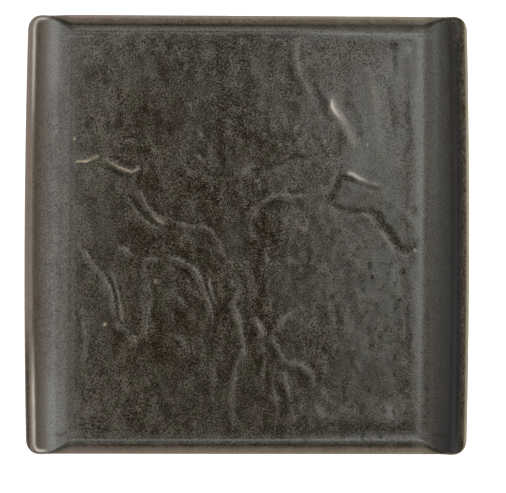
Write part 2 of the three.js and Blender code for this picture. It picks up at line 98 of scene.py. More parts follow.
CREASES = (
    # The long fold at the upper right, with a painted highlight on its crest, and the trough beside it in
    # painted shade
    Crease(((44.5, 83), (47.3, 77), (50, 71.5), (55, 65.5), (58.3, 58), (61.5, 50)), 0.9, 4, 7),
    Crease(((48.4, 78), (49.3, 72.8), (52, 69), (57, 62.5)), 0.9, 2.5, 5, 0.9, 0.8),
    Crease(((48.5, 81), (52, 69), (57.5, 60), (61.5, 49)), 0.2, 6, 7, 0.2, 2.2),
    Crease(((35, 97), (36.8, 91.5), (39.5, 83.5), (42.5, 77.5), (45, 71), (46, 66)),
           -0.4, 3.2, 3.6, dark=0.5),
    Crease(((49.5, 68.5), (51.5, 65), (53.3, 59.5), (53, 53), (52, 45)), -0.35, 3, 4, dark=0.45),
    Crease(((28, 113), (28, 104), (28.6, 97), (30.3, 90.5), (34.5, 82), (37, 76)),
           0.55, 3.6, 4.5, 0.04, 1.8),
    groove((57, 84), (57.2, 76), (61.5, 70), (64.2, 60), (67, 50.5), rise=0.25, flank=3.6, dark=0.26),
    # Soft waves beside the fold
    Crease(((70, 92), (72.5, 74), (74.5, 60), (74, 44)), 0.35, 7, 7, 0.03, 4),
    groove((80.8, 90), (82.7, 77), (83.7, 68), (83, 57), rise=0.25, flank=3.2, dark=0.35),
    groove((92.3, -37), (92, -55), (92.5, -79), rise=0.2, flank=2.6, dark=0.45),
    groove((92, 88), (92, 70), (92.8, 60), (92.3, 50), (88, 42), rise=0.2, flank=2.4, dark=0.3),
    groove((84, 112), (84.3, 102), (85, 92), rise=0.2, flank=2.2, dark=0.42),
    # The flake, with a painted highlight on its crest, and the painted shade of the line under it
    Crease(((57.8, 36.4), (61.3, 34.8), (65, 32.6), (69.5, 30.5)), 0.9, 3.5, 2.6, 0.85, 0.75),
    Crease(((64, 33.2), (70, 30.4), (77.5, 28.7)), 0.6, 3, 2.6, 0.2, 0.6),
    groove((52.4, 39.5), (53.4, 34.8), (58, 33.4), (62, 31.6), (66, 29.4),
           rise=0.4, flank=2.8, dark=0.95),
    groove((63, 30.8), (69, 28.3), (77, 26.4), rise=0.25, flank=2, dark=0.45),
    # The split below it
    groove((53.6, 36.5), (52.3, 32), (51, 27), (48.6, 22), (46, 18.5), rise=0.4, flank=3, dark=1),
    groove((68, 15.4), (71, 14.6), (74.3, 12.6), (76.3, 9.3), (78, 6.6), (80.5, 4), (83.4, 0.5),
           (85.7, -2.8),
           (88, -5.8), (91, -7.4), (94.7, -6.8), (97.6, -4), rise=0.8, flank=3.6, dark=1),
    groove((46.5, 19.5), (52, 17), (58.4, 15), (63, 14.8), (68, 15), (73, 14),
           rise=0.4, flank=2.6, dark=0.9),
    ridge((57.5, 8.5), (64, 11.5), (68.8, 10.5), (72.5, 5), rise=0.4, flank=4),
    Crease(((75.5, 3.5), (79, -0.5), (81.2, -4), (82.8, -8), (83.3, -14)), 0.5, 3, 3.5, 0.1, 1.2),
    ridge((83.3, -10), (82.5, -29), rise=0.3, flank=3.5),
    Crease(((82.7, 19.7), (90.7, 11.7), (97, 4)), 0.4, 4, 5),
    # The long S and the hollows on its two sides
    Crease(((50.5, 42), (49.6, 33), (46.5, 27.5), (41, 25), (35, 22.8), (29, 21.6), (23, 21.7)),
           0.45, 4, 5),
    Crease(((30, 21.5), (24, 21.7), (17, 22), (11, 19.5), (6, 16), (3, 12.5), (1.2, 7), (1, 1),
           (3.5, -3)),
           0.65, 3.6, 4.2),
    groove((4, 36.3), (11, 38.3), (18, 41), (25, 44.3), (32, 45.2), (38, 46.3),
           rise=0.25, flank=3.6, dark=0.6),
    groove((10.5, 14), (15, 16.3), (19, 13.5), rise=0.25, flank=3.2, dark=0.62),
    groove((22.5, 26), (29.5, 25), rise=0.2, flank=2.2, dark=0.7),
    groove((-1, 21.5), (6, 22.7), (12.5, 25), rise=0.15, flank=2, dark=0.3),
    groove((-1.5, 33.5), (0, 27), (0, 19), rise=0.2, flank=3, dark=0.6),
    groove((-12.5, 35.5), (-8, 40), (-3.5, 41.5), rise=0.2, flank=2.2, dark=0.58),
    groove((4.5, 6.5), (7, -1), (11, -7.5), rise=0.2, flank=3, dark=0.45),
    ridge((-9, 32), (-3, 36), (4.5, 40.5), rise=0.4),
    ridge((5, 32), (7, 26), rise=0.5),
    ridge((23.5, -4), (25.5, 3), (28.5, 5.8), (31.5, 3), (33, -1.5), rise=0.3, flank=2.2),
    ridge((47, 18), (47, 8), rise=0.3),
    ridge((41.5, 58), (45.5, 50), rise=0.25),
    # The broken line at the left
    Crease(((-98, 42.5), (-91.5, 42.3), (-84.5, 44.8)), 0.9, 3, 3.5, 0.85, 0.42),
    Crease(((-62, 39), (-63.6, 37), (-67.4, 36.8), (-73.8, 39.1), (-78, 41.5), (-82, 44)),
           0.9, 3.5, 3, 0.6, 0.42),
    ridge((-62.8, 38.5), (-64.8, 33.5), (-66, 29), (-63.4, 24.5), rise=0.5, flank=2.4),
    Crease(((-64, 36), (-65, 30), (-62.5, 24), (-58, 16.8), (-52.5, 10.6), (-46, 6.5)), 0.55, 3.6, 3.6),
    Crease(((-47, 6.7), (-50.2, 8.5), (-52.7, 10.5), (-54.7, 12.4)), 0.5, 2.5, 2.5, 0.55, 0.42),
    groove((-67, 24), (-64, 19), (-61, 15), (-57.5, 11), (-53.5, 7.7), (-48, 4.6),
           rise=0.4, flank=2.4, dark=1),
    groove((-80, 39.3), (-74, 35.4), (-67.5, 33.6), rise=0.2, flank=2.2, dark=0.9),
    groove((-77.5, 46.5), (-72.5, 48.5), (-67, 48), rise=0.15, flank=3.5, dark=0.45),
    groove((-71, 28), (-71.5, 15), (-70, 5), (-66.5, -7), rise=0.15, flank=2.5, dark=0.45),
    Crease(((-47, 8), (-39, 6), (-32, 4), (-23, 3.5), (-18.8, -2), (-15.5, -8.5), (-10.5, -17)),
           0.32, 3.4, 3.4),
    groove((-21, -6), (-17.6, -12), (-14.5, -17), rise=0.2, flank=2, dark=0.62),
    ridge((-70.5, 53.7), (-64.5, 52.3), rise=0.48),
    ridge((-28.2, 61), (-26.3, 53.5), rise=0.4, flank=2.5),
    ridge((-31.5, 47), (-24.5, 40.5), rise=0.4, flank=2.5),
    ridge((-33.2, 76), (-31.3, 67), rise=0.36),
    ridge((-73.2, 103), (-71.8, 95), rise=0.36),
    # The arch and what it spans
    Crease(((-49.5, -14.3), (-45, -13.2), (-41, -14), (-37, -15.9), (-33.5, -17.8), (-30.2, -20.5),
           (-27.6, -24),
            (-25.6, -28.3), (-24.7, -33.5), (-22.3, -39.5), (-20.3, -47), (-19.8, -58)), 0.55, 3.2, 3.2),
    Crease(((-55, -14.5), (-58.5, -18.2), (-58, -23.5), (-56, -29.5), (-54.7, -36), (-56.7, -44),
           (-58.4, -52),
            (-59.8, -58)), 0.42, 3.2, 3, 0.03, 0.6),
    Crease(((-21.5, -25), (-20.2, -30.5), (-17.8, -39)), 0.5, 1.9, 1.8, 0.25, 0.42),
    groove((-20.2, -25.5), (-18.4, -31), (-16.8, -35.3), (-15, -40), rise=0.3, flank=1.8, dark=1),
    groove((-22.6, -28), (-21.2, -33), (-19.4, -39), rise=0.2, flank=1.5, dark=0.6),
    groove((-61, -14), (-62.5, -29), (-61.5, -42), rise=0.15, flank=2.2, dark=0.5),
    groove((-31.5, -23), (-30, -34), rise=0.2, dark=0.3),
    groove((-48.5, -40), (-47, -50), rise=0.15, flank=3, dark=0.32),
    groove((-53.4, -40), (-53.4, -49), rise=0.15, dark=0.2),
    groove((-50, -27.5), (-45.5, -31.5), rise=0.15, dark=0.42),
    ridge((-45, -31), (-41, -35), (-37.5, -38.5), (-35, -44), rise=0.35),
    ridge((-49.5, -22.3), (-43.5, -23), rise=0.25),
    ridge((-43.2, -43), (-42.8, -50), rise=0.25, flank=2.5),
    ridge((-60, -22), (-58.7, -17.5), (-55.5, -14.5), (-50.5, -13.8), rise=0.55, flank=3.4),
    ridge((-34.5, -32), (-30, -33), (-26.5, -35.2), (-23.5, -39.5), rise=0.4, flank=2.2),
    # The two ribs at the left and the roots below them
    Crease(((-98, -4), (-93, -10), (-87.3, -17.7), (-84.3, -21.3), (-80.7, -27.5), (-77.2, -34),
           (-76, -41),
            (-75.3, -49)), 0.65, 2.8, 2.6, 0.06, 0.5),
    Crease(((-70.6, -49.5), (-71.3, -44), (-72.2, -37), (-73.6, -31), (-76, -25), (-79, -19.5)),
           0.5, 2, 2, 0.16, 0.4),
    groove((-81, -20), (-77.7, -25), (-75.3, -32), (-74, -40), (-72.9, -50.5),
           rise=0.3, flank=1.8, dark=0.95),
    groove((-75.5, -22.5), (-72.2, -30), (-70.6, -39), (-69, -51), rise=0.25, flank=1.7, dark=0.8),
    Crease(((-76.5, -49), (-73.3, -51.2), (-70, -53.5), (-67.2, -56.5), (-64.5, -59.5), (-61.5, -62.5)),
           0.42, 3, 3, 0.05),
    groove((-65.7, -51), (-64.8, -57), rise=0.2, dark=0.7),
    ridge((-96, -47), (-93.6, -53), (-91.8, -61), (-91.8, -73), rise=0.5),
    groove((-96.5, -41), (-95.6, -50), (-94.8, -58), (-94.8, -70), rise=0.2, flank=2, dark=0.7),
    groove((-94.5, -80), (-93.3, -89), (-92, -100), rise=0.2, flank=3, dark=0.55),
    ridge((-72, -79), (-68.3, -86), (-71.5, -96), rise=0.25),
    ridge((-73, -6.5), (-67.5, -10.5), (-61.5, -14.5), rise=0.4),
    ridge((-45.9, -55.6), (-37.9, -59.6), (-33.9, -66.6), (-33.5, -75.6), rise=0.18),
    ridge((-60, -69), (-59.5, -78), (-56, -85), (-53.5, -92), rise=0.2),
    ridge((-50.5, -81.5), (-46, -88.5), (-42.5, -97), rise=0.2),
    ridge((-31.5, -77), (-31.5, -89), rise=0.25, flank=4),
    ridge((-26, -91.5), (-26.7, -101), rise=0.25),
    ridge((-38.5, -91.5), (-33, -98), rise=0.25, flank=2.5),
    groove((-51, -81), (-50.3, -92), rise=0.15, dark=0.48),
    groove((-47.8, -96.5), (-44.5, -105), rise=0.15, flank=3, dark=0.48),
    # The trunk and branches at the middle
    Crease(((-4.5, -31), (-6.6, -35.5), (-7.6, -40), (-5, -49), (-3, -56), (-1.8, -62),
           (-2.2, -66.5), (-5, -73),
            (-7.3, -79), (-8.5, -90), (-8, -102), (-7.6, -111)), 0.85, 3.4, 3.4, 0.08, 0.7),
    Crease(((3, -46.6), (6.6, -51), (9, -58.5)), 0.8, 3.8, 3.4, 0.08, 0.7),
    Crease(((14.9, -54.8), (19.9, -49), (25.9, -42)), 0.6, 3.8, 3.8, 0.1, 0.7),
    Crease(((13, -56), (17.5, -64), (22.5, -72), (29.5, -73.3), (33.5, -76.3), (37, -79.8), (38.6, -91)),
           0.8, 4, 4, 0.08, 0.7),
    Crease(((20.5, -77), (22.3, -85), (24.4, -93), (25.5, -101), (27.5, -107)), 0.8, 3.6, 3),
    ridge((10.5, -67), (9.5, -74), (8, -81), rise=0.35),
    ridge((12, -73), (14.5, -82), (15, -90), (17.2, -98), (15, -109), rise=0.24),
    ridge((-18.7, -61), (-18.5, -73), (-19.5, -87), (-19, -96), (-17.5, -105), rise=0.28),
    ridge((11, -29), (15, -22), (22, -16), (26, -13), rise=0.22, flank=3.5),
    ridge((8.8, -11.3), (13.3, -16.8), (16.8, -20.3), rise=0.35, flank=3.5),
    ridge((-9, -24.5), (-7.8, -30), rise=0.4, flank=2.5),
    groove((-1, -35.5), (-1.3, -42), (0.4, -49.5), rise=0.3, flank=3.4, dark=0.85),
    groove((16, -39.5), (16.2, -47.5), rise=0.25, dark=0.6),
    groove((9, -59), (11, -62.5), (16, -67.5), rise=0.2, flank=3, dark=0.58),
    groove((25.5, -60), (31.5, -68), rise=0.2, dark=0.58),
    groove((17, -76), (18, -86), (20.5, -92), (23.3, -100), rise=0.2, dark=0.48),
    groove((-16, -71), (-16.5, -81), rise=0.15, dark=0.42),
    # Scattered marks at the lower right
    ridge((46.5, -22), (47.5, -34), (46.5, -40), (47.8, -50), rise=0.35),
    groove((50.8, -39), (52.5, -46), (54.3, -51.5), rise=0.25, flank=2.2, dark=0.75),
    groove((58.7, -68.5), (60.6, -76.5), rise=0.2, flank=2, dark=0.5),
    ridge((62, -71), (65, -78), rise=0.4, flank=2.2),
    groove((56.2, -82), (55.4, -97), rise=0.25, flank=2.2, dark=0.6),
    ridge((62.7, -30), (65.3, -38), rise=0.36),
    ridge((76, -102), (84, -100.5), (92, -97.5), rise=0.35, flank=4),
    ridge((36.5, -95), (43, -104), rise=0.25, flank=5),
    # Tiny bare specks
    Crease(((-98.4, 55), (-97.6, 55.2)), 0.2, 1, 1, 0.95, 0.65),
    Crease(((-81.2, -50.9), (-79.4, -50.6)), 0.2, 1, 1, 1, 0.8),
    Crease(((-52.6, -26), (-51, -27)), 0.3, 1.8, 1.8, 0.28, 1.1),
    Crease(((95.6, -7.6), (97.4, -8.8)), 0.2, 1, 1, 0.6, 0.75),
    Crease(((68.4, 52.6), (69.8, 52.2)), 0.3, 1.6, 1.6, 0.36, 1),
)

# Hollows darkened with painted shade: plan point and radius in millimetres, and how dark
HOLLOWS = (
    (36, -13.2, 0.95, 2), (71.6, -23.1, 0.8, 2), (87.4, -36.3, 0.9, 1.6), (73.7, -52.8, 0.9, 1.6),
    (70.2, -87.6, 1, 2), (90.2, -82.5, 1, 1.4), (60.5, -43.1, 0.7, 1.4), (-19.1, -57.1, 0.8, 1.8),
    (-27.4, -32.7, 0.7, 1.6), (84, 109, 3.2, 0.85), (62, 109, 2.4, 0.4), (75, 110, 5, 0.2),
    (96.3, 14.8, 2.6, 0.55), (78.9, 18.2, 1.7, 0.4), (76.2, 18.8, 1.6, 0.3), (36.7, 92.2, 2.8, 0.6),
    (35.8, 104, 1.8, 0.35), (57.3, 75.5, 2.4, 0.45), (64, 59, 2.4, 0.4), (53, 58.6, 2.2, 0.5),
    (57.8, 15.3, 2.4, 0.8), (47.8, 21.6, 2.6, 0.75), (53, 17, 2.2, 0.35), (96.8, -4, 1.8, 0.6),
    (88, 10.5, 2.6, 0.22), (52.5, 8, 2.4, 0.25), (57, 28, 1.6, 0.3), (67, 23, 2.4, 0.22),
    (86, 35, 2.6, 0.22), (28, 0.5, 1.8, 0.5), (32.8, -2, 1.6, 0.4), (52, -3, 2.4, 0.35),
    (64, -6, 2.2, 0.25), (78.5, -4.5, 1.8, 0.25), (26.6, 53.5, 1.9, 0.42), (31, 60.5, 1.8, 0.35),
    (32, 45.3, 2.2, 0.4), (35.6, -12.5, 1.6, 0.55), (58.3, -23.5, 2.2, 0.35), (73.4, -53, 1.7, 0.42),
    (83, -61, 1.8, 0.4), (70.5, -88, 1.8, 0.5), (64.5, -93, 4.5, 0.14), (67, -105, 5.5, 0.22),
    (33, -90, 3, 0.35), (37, -66.5, 2.8, 0.35), (47.5, -63.5, 2.6, 0.3), (30, -52, 4.5, 0.26),
    (26.5, -79, 3, 0.26), (42, -52.5, 2.4, 0.26), (15.5, -14, 3.4, 0.3), (7, -24.5, 6, 0.2),
    (12.5, -96, 2, 0.3), (0, -78, 3.5, 0.2), (-26, -2, 5, 0.25), (-25.5, -15.5, 3.4, 0.28),
    (-25.5, -43, 3.4, 0.32), (-22.3, -92, 3, 0.28), (-14, -80, 4, 0.2), (-64.5, -91, 3.4, 0.24),
    (-65, -81, 3.4, 0.24), (-77, -92, 2.8, 0.24), (-81, -43, 2.6, 0.28), (-63, 46, 3.2, 0.26),
    (-65, 17, 4, 0.24), (-43.7, 16, 2.8, 0.26), (-30.3, 35, 2.8, 0.28), (-72.5, 105, 2.8, 0.34),
    (-67.8, 99.5, 2.4, 0.28), (-28, 83, 2.8, 0.34), (-24, 65, 2.8, 0.3), (-11, 12, 3, 0.28),
    (10.5, 55.5, 2.8, 0.25), (-41, -20, 3.4, 0.2),
)


def linear(hex_text):
    """Linear RGBA of an sRGB hex colour."""
    parts = [int(hex_text[i:i + 2], 16) / 255 for i in (0, 2, 4)]
    return tuple(c / 12.92 if c <= 0.04045 else ((c + 0.055) / 1.055) ** 2.4 for c in parts) + (1.0,)


def length_setting(name, description, millimetres):
    """A length that a user can change, with its default in millimetres."""
    return bpy.props.FloatProperty(
        name=name, description=description, default=millimetres * MM, unit="LENGTH")


def colour_setting(name, description, hex_text):
    """A colour that a user can change, with its default in sRGB."""
    return bpy.props.FloatVectorProperty(
        name=name, description=description, default=linear(hex_text), size=4, subtype="COLOR")


def power_setting(name, description, watts):
    """A lamp's power that a user can change."""
    return bpy.props.FloatProperty(name=name, description=description, default=watts, unit="POWER")


class PlatterForm(bpy.types.PropertyGroup):
    """Sizes of the glazed platter that the frame's boxes don't give."""

    side_bow: length_setting("Side bow", "How far a coved side bows out at its middle", 1.6)
    corner_radius: length_setting("Corner radius", "Plan radius of the outline's corners", 8.6)
    end_tuck: length_setting("End tuck", "How far the far ends of the coved sides are drawn in", 1)
    foot_height: length_setting("Foot height", "From the table to the underside", 2.5)
    cove_width: length_setting("Cove width", "From the floor to the outline of a coved side", 25.8)
    rim_rise: length_setting("Rim rise", "From the floor to the crest of a coved side", 12)
    rim_top: length_setting("Rim top", "From the outline to the crest's inner shoulder", 4)
    rim_edge: length_setting("Rim edge", "Thickness of a coved side at the outline", 4.5)
    rim_shoulder: length_setting("Rim shoulder", "Softness of the crest's inner shoulder", 2)
    lip_width: length_setting("Lip width", "From the outline to an end lip's shoulder", 5.1)
    lip_rise: length_setting("Lip rise", "From the floor to the top of an end lip", 3.5)
    lip_fillet: length_setting("Lip fillet", "Radius between floor and end lip", 4.6)
    lip_shoulder: length_setting("Lip shoulder", "Softness of an end lip's shoulder", 1.2)
    lip_uneven: length_setting("Lip uneven", "How much narrower the lip at the near end is", 0.5)
    lip_taper: length_setting("Lip taper", "How much an end lip narrows as it runs into a cove", 3.4)
    taper_run: length_setting("Taper run", "Stretch of the cove over which an end lip narrows", 13)
    end_edge: length_setting("End edge", "Thickness of an end at the outline", 6)
    heel_width: length_setting("Heel width", "Stretch of the underside that curves up to an end", 14)
    edge_flat: length_setting("Edge flat", "Flat between the edge's upper and lower rounding", 2.1)
    floor_lift: length_setting("Floor lift", "How far the floor stands above an end lip's fillet", 0.45)
    crown: length_setting("Crown", "How far the floor's middle stands above its edges", 0.9)
    step_width: length_setting("Step width", "Over which the cleft floor comes down to an end lip", 2.4)
    relief_fade: length_setting("Relief fade", "Over which the relief dies out towards a cove", 5)
    coat: length_setting("Coat", "Thickness of a coat of glaze", 0.5)
    side_band: length_setting("Side band", "Reach of the edge coat on a coved side", 6)
    end_band: length_setting("End band", "Reach of the edge coat on an end lip", 3.75)
    foot_width: length_setting("Foot width", "Width of the bare foot ring", 6)
    foot_corner: length_setting("Foot corner", "Outer corner radius of the foot ring", 16)
    relief: bpy.props.FloatProperty(
        name="Relief", description="Height of the floor's relief, as a share of the real one", default=1.0)


class PlatterGlaze(bpy.types.PropertyGroup):
    """Colours and grain of the glaze and the clay, with the sheen, highlights and shade painted into the
    glaze.
    """

    speck: colour_setting("Speck", "Dark iron specks", "170e04")
    ground: colour_setting("Ground", "Brown-black body of the glaze", "21170a")
    film: colour_setting("Film", "Grey film over its thicker parts", "2b2518")
    # Pale crystals, and painted glints of the fine grain
    crystal_glint: colour_setting("Crystal", "Fine pale crystals", "544d45")
    # Painted sheen: the grey of the coves stands in for the light they reflect
    cove: colour_setting("Cove", "Grey haze of the glaze that settled by the coves", "4e4f48")
    # Grey glaze and painted sheen: the floor's right part is drawn lighter for the light it reflects
    cloud_sheen: colour_setting("Cloud", "Grey cloud of the floor's right part", "5f605b")
    # Painted shade: the grey cloud darker towards the near end, where less light falls
    near_shade: colour_setting("Dusk", "That cloud towards the near end", "40413b")
    # Painted shade: the dark of grooves, hollows and the lips' valleys, and of the dull patches
    dull_shade: colour_setting("Crevice", "Dull dark glaze at the bottom of a groove", "1e1b11")
    # Painted shade up the right cove, drawn as blue-black glaze
    cove_shade: colour_setting("Deep", "Blue-black glaze where it pooled thickest", "171818")
    rust: colour_setting("Rust", "Red-brown patches of the glaze", "382219")
    olive: colour_setting("Olive", "Olive patches of the glaze", "2d2916")
    # Painted highlight: the milky line at the right cove's foot
    milk_highlight: colour_setting("Milk", "Milky glaze at the right cove's foot", "74736d")
    iron: colour_setting("Iron brown", "Glaze that has run thin near an edge", "403422")
    buff: colour_setting("Buff", "Clay showing through the thinnest glaze at the left edge", "827268")
    cream: colour_setting("Cream", "Clay showing through the thinnest glaze at the right edge", "7f7763")
    straw: colour_setting("Straw crest", "Bare clay on a crest of the floor's left part", "bba985")
    # Painted highlight: the gleam on crests at the right and on the left rim's crest, drawn as pale clay
    bare: colour_setting("Pale crest", "Bare clay on a crest at the right or on the left rim", "c2bcb4")
    clay: colour_setting("Clay", "Unglazed fired stoneware", "a3876a")
    sand: colour_setting("Sand", "Darker sand grains of that clay", "8c7257")
    fleck: colour_setting("Fleck", "Iron flecks of that clay", "4a3524")
    grain_size: length_setting("Grain size", "Size of the specks and crystals", 0.7)
    cell_size: length_setting("Cell size", "Spacing of the dark dots", 1.1)
    patch_size: length_setting("Patch size", "Size of the rusty and olive patches", 9)
    mottle_size: length_setting("Mottle size", "Size of the mottling", 6.5)
    roughness: bpy.props.FloatProperty(
        name="Roughness", description="Roughness of the satin glaze", default=0.21, min=0, max=1)


class PlatterStage(bpy.types.PropertyGroup):
    """The camera and the studio."""

    camera_height: length_setting("Camera height", "Camera above the table", 1000)
    camera_lens: bpy.props.FloatProperty(
        name="Lens", description="Focal length for a 36 mm frame", default=123.6, unit="CAMERA")
    aim: bpy.props.FloatVectorProperty(
        name="Aim", description="Point of the table in the middle of the picture", size=2,
        default=(3.5 * MM, -6.7 * MM), unit="LENGTH")
    tilt: bpy.props.FloatVectorProperty(
        name="Tilt", description="Lean of the view from straight down, along X and Y", size=2,
        default=(math.radians(-0.97), math.radians(-1.01)), unit="ROTATION")
    roll: bpy.props.FloatProperty(
        name="Roll", description="Turn of the picture", default=math.radians(-0.18), unit="ROTATION")
    key_power: power_setting("Key light", "Power of the soft box at the right", 29)
    top_power: power_setting("Top light", "Power of the soft box overhead", 11)
    fill_power: power_setting("Fill light", "Power of the soft box at the left", 12)
    back_power: power_setting("Back light", "Power of the soft box behind", 9.5)
    front_power: power_setting("Front light", "Power of the soft box in front", 7.5)
    floor: colour_setting("Floor", "Colour of the floor", "f2f2f0")


def smooth(t):
    """Eases from 0 to 1."""
    t = np.clip(t, 0, 1)
    return t * t * (3 - 2 * t)


def bell(value, middle, width):
    """1 at the middle, and softly less to both sides of it."""
    return np.exp(-((value - middle) / width) ** 2)


def blot(x, y, centre_x, centre_y, width, length):
    """A soft oval over plan points, 1 at its centre. Its place and its half sizes are in millimetres."""
    return bell(x / MM, centre_x, width) * bell(y / MM, centre_y, length)


STEEPEST = 0.98  # share of its radius after which an arc goes on as a wall


def arc_radius(run, rise):
    """Radius of the arc that leaves a flat without a corner and climbs by rise over run."""
    return (run * run + rise * rise) / (2 * rise)


def arc_rise(run, radius):
    """Height of that arc after a run. Near upright it goes on as a straight, steep wall."""
    steepest = STEEPEST * radius
    reach = np.clip(run, 0, steepest)
    wall_slope = steepest / math.sqrt(radius * radius - steepest * steepest)
    return radius - np.sqrt(radius * radius - reach * reach) + np.maximum(run - steepest, 0) * wall_slope


def soft_min(a, b, softness):
    """The lower of two heights, with a soft change-over."""
    overlap = np.maximum(softness - np.abs(a - b), 0) / softness
    return np.minimum(a, b) - overlap * overlap * softness / 4


def soft_union(a, b, sharpness=5):
    """The higher of two rises, with a small fillet where they meet."""
    return (a ** sharpness + b ** sharpness) ** (1 / sharpness)


def noise_field(x, y, size, stretch=1.0, seed=0.0):
    """Noise over plan points, from -1 to 1. size is its grain, and stretch lengthens that along Y."""
    places = zip((x / size).ravel(), (y / (size * stretch)).ravel())
    values = [noise.noise(Vector((px, py, seed))) for px, py in places]
    return np.array(values).reshape(x.shape)


TUCK_REACH = 25 * MM  # stretch of a coved side that is drawn in at its far end
RIGHT_TUCK = 0.45  # share of that on the right side
CROWN_POWER = 4  # how flat the floor's crown is at its middle
VALLEY_RISE = 0.4 * MM  # by which lip and cove differ at the edge of their valley's line of painted shade
VALLEY_FROM = 0.7 * MM  # rise of the lip at which that line starts
VALLEY_DARK = 0.75


class Section:
    """Heights of the glazed platter over its plan."""

    def __init__(self, form):
        self.form = form
        self.half_x = (EDGE_HIGH.x - EDGE_LOW.x) / 2 - form.side_bow
        self.half_y = (EDGE_HIGH.y - EDGE_LOW.y) / 2
        self.floor_x = self.half_x - form.cove_width
        self.floor_y = self.half_y - form.lip_width - form.lip_fillet
        self.floor_z = EDGE_HIGH.z - form.rim_rise
        self.edge_round = (form.rim_edge - form.edge_flat) / 2
        thickness = self.floor_z - form.foot_height
        self.cove_radius = arc_radius(form.cove_width - form.rim_top, form.rim_rise)
        self.under_radius = arc_radius(form.cove_width, thickness + form.rim_rise - form.rim_edge)
        self.heel_radius = arc_radius(form.heel_width, thickness + form.lip_rise - form.end_edge)

    def placed(self, x, y, z):
        """Points over plan points, with the coved sides' bow and drawn-in far ends.

        Both grow from the floor's edge to the outline.
        """
        share = np.clip((np.abs(x) - self.floor_x) / self.form.cove_width, 0, 1)
        bow = share * self.form.side_bow * (1 - (y / self.half_y) ** 2)
        towards_far = smooth((y - self.half_y + TUCK_REACH) / TUCK_REACH)
        tuck = smooth(share) * towards_far * self.form.end_tuck * np.where(x > 0, RIGHT_TUCK, 1)
        return np.stack([x + np.sign(x) * bow, y - tuck, z], -1)

    def edge_inset(self, x, y):
        """Distance of a plan point from the rounded outline."""
        radius = self.form.corner_radius
        inset_x = self.half_x - np.abs(x)
        inset_y = self.half_y - np.abs(y)
        corner = radius - np.hypot(radius - inset_x, radius - inset_y)
        in_corner = (inset_x < radius) & (inset_y < radius)
        return np.where(in_corner, corner, np.minimum(inset_x, inset_y))

    def edge_drop(self, inset):
        """How far the rounded edge has turned away from the flat."""
        short = np.maximum(0, self.edge_round - inset)
        return self.edge_round - np.sqrt(np.maximum(0, self.edge_round ** 2 - short ** 2))

    def floor_share(self, x, y):
        """0 on the coves and lips, 1 on the cleft floor."""
        beside_cove = smooth((self.floor_x - np.abs(x)) / self.form.relief_fade)
        beside_lip = smooth((self.floor_y - np.abs(y)) / self.form.step_width)
        return beside_cove * beside_lip

    def crown(self, x, y):
        """Rise of the floor over its edges: a gentle crown, and a step at the end lips."""
        form = self.form
        across = np.clip(np.abs(x) / (self.floor_x + form.step_width), 0, 1)
        along = np.clip(np.abs(y) / (self.floor_y + form.step_width), 0, 1)
        crown = form.crown * (1 - across ** CROWN_POWER) * (1 - along ** CROWN_POWER)
        step = smooth((self.floor_y - np.abs(y)) / form.step_width)
        up_cove = smooth((np.abs(x) - self.floor_x) / (form.cove_width - form.side_band))
        return crown + form.floor_lift * step * (1 - up_cove)

    def narrowing(self, x, y):
        """How much narrower an end lip is here than along the floor at the far end."""
        into_cove = smooth((np.abs(x) - self.floor_x) / self.form.taper_run)
        return self.form.lip_taper * into_cove + np.where(y < 0, self.form.lip_uneven, 0)

    def rises(self, x, y):
        """How far the coved sides, and the end lips, rise above the floor."""
        form = self.form
        side_run = np.abs(x) - self.floor_x
        end_run = np.abs(y) - self.floor_y - self.narrowing(x, y)
        side = soft_min(arc_rise(side_run, self.cove_radius), form.rim_rise, form.rim_shoulder)
        end = soft_min(arc_rise(end_run, form.lip_fillet), form.lip_rise, form.lip_shoulder)
        return side, end

    def valley_shade(self, x, y):
        """How dark the painted shade is beside the line where an end lip dies into a coved side, over plan
        points.
        """
        side, end = self.rises(x, y)
        return VALLEY_DARK * bell(side, end, VALLEY_RISE) * smooth((end - VALLEY_FROM) / VALLEY_FROM)

    def upper(self, x, y):
        """Height of the upper surface without the relief."""
        return self.floor_z + soft_union(*self.rises(x, y)) - self.edge_drop(self.edge_inset(x, y))

    def lower(self, x, y):
        """Height of the underside without the foot ring."""
        form = self.form
        side = arc_rise(np.abs(x) - self.floor_x, self.under_radius)
        end = arc_rise(np.abs(y) - self.half_y + form.heel_width, self.heel_radius)
        return form.foot_height + soft_union(side, end) + self.edge_drop(self.edge_inset(x, y))


def smooth_path(points, steps=8):
    """A Catmull-Rom curve through plan points, in metres."""
    given = np.array(points, float) * MM
    padded = np.vstack([2 * given[0] - given[1], given, 2 * given[-1] - given[-2]])
    t = np.linspace(0, 1, steps, endpoint=False)[:, None]
    runs = []
    for a, b, c, d in zip(padded, padded[1:], padded[2:], padded[3:]):
        bend = (2 * a - 5 * b + 4 * c - d) * t ** 2 + (3 * b - a - 3 * c + d) * t ** 3
        runs.append((2 * b + (c - a) * t + bend) / 2)
    return np.vstack(runs + [given[-1:]])


def nearest_on_path(path, x, y):
    """For plan points: the distance to a path, the share walked there, and if they are on its left."""
    best = np.full(x.shape, np.inf)
    along = np.zeros(x.shape)
    on_left = np.zeros(x.shape, bool)
    count = len(path) - 1
    for i, (start, end) in enumerate(zip(path, path[1:])):
        run_x, run_y = end - start
        off_x = x - start[0]
        off_y = y - start[1]
        share = np.clip((off_x * run_x + off_y * run_y) / (run_x ** 2 + run_y ** 2), 0, 1)
        distance = np.hypot(off_x - share * run_x, off_y - share * run_y)
        closer = distance < best
        best = np.where(closer, distance, best)
        along = np.where(closer, (i + share) / count, along)
        on_left = np.where(closer, run_x * off_y - run_y * off_x > 0, on_left)
    return best, along, on_left


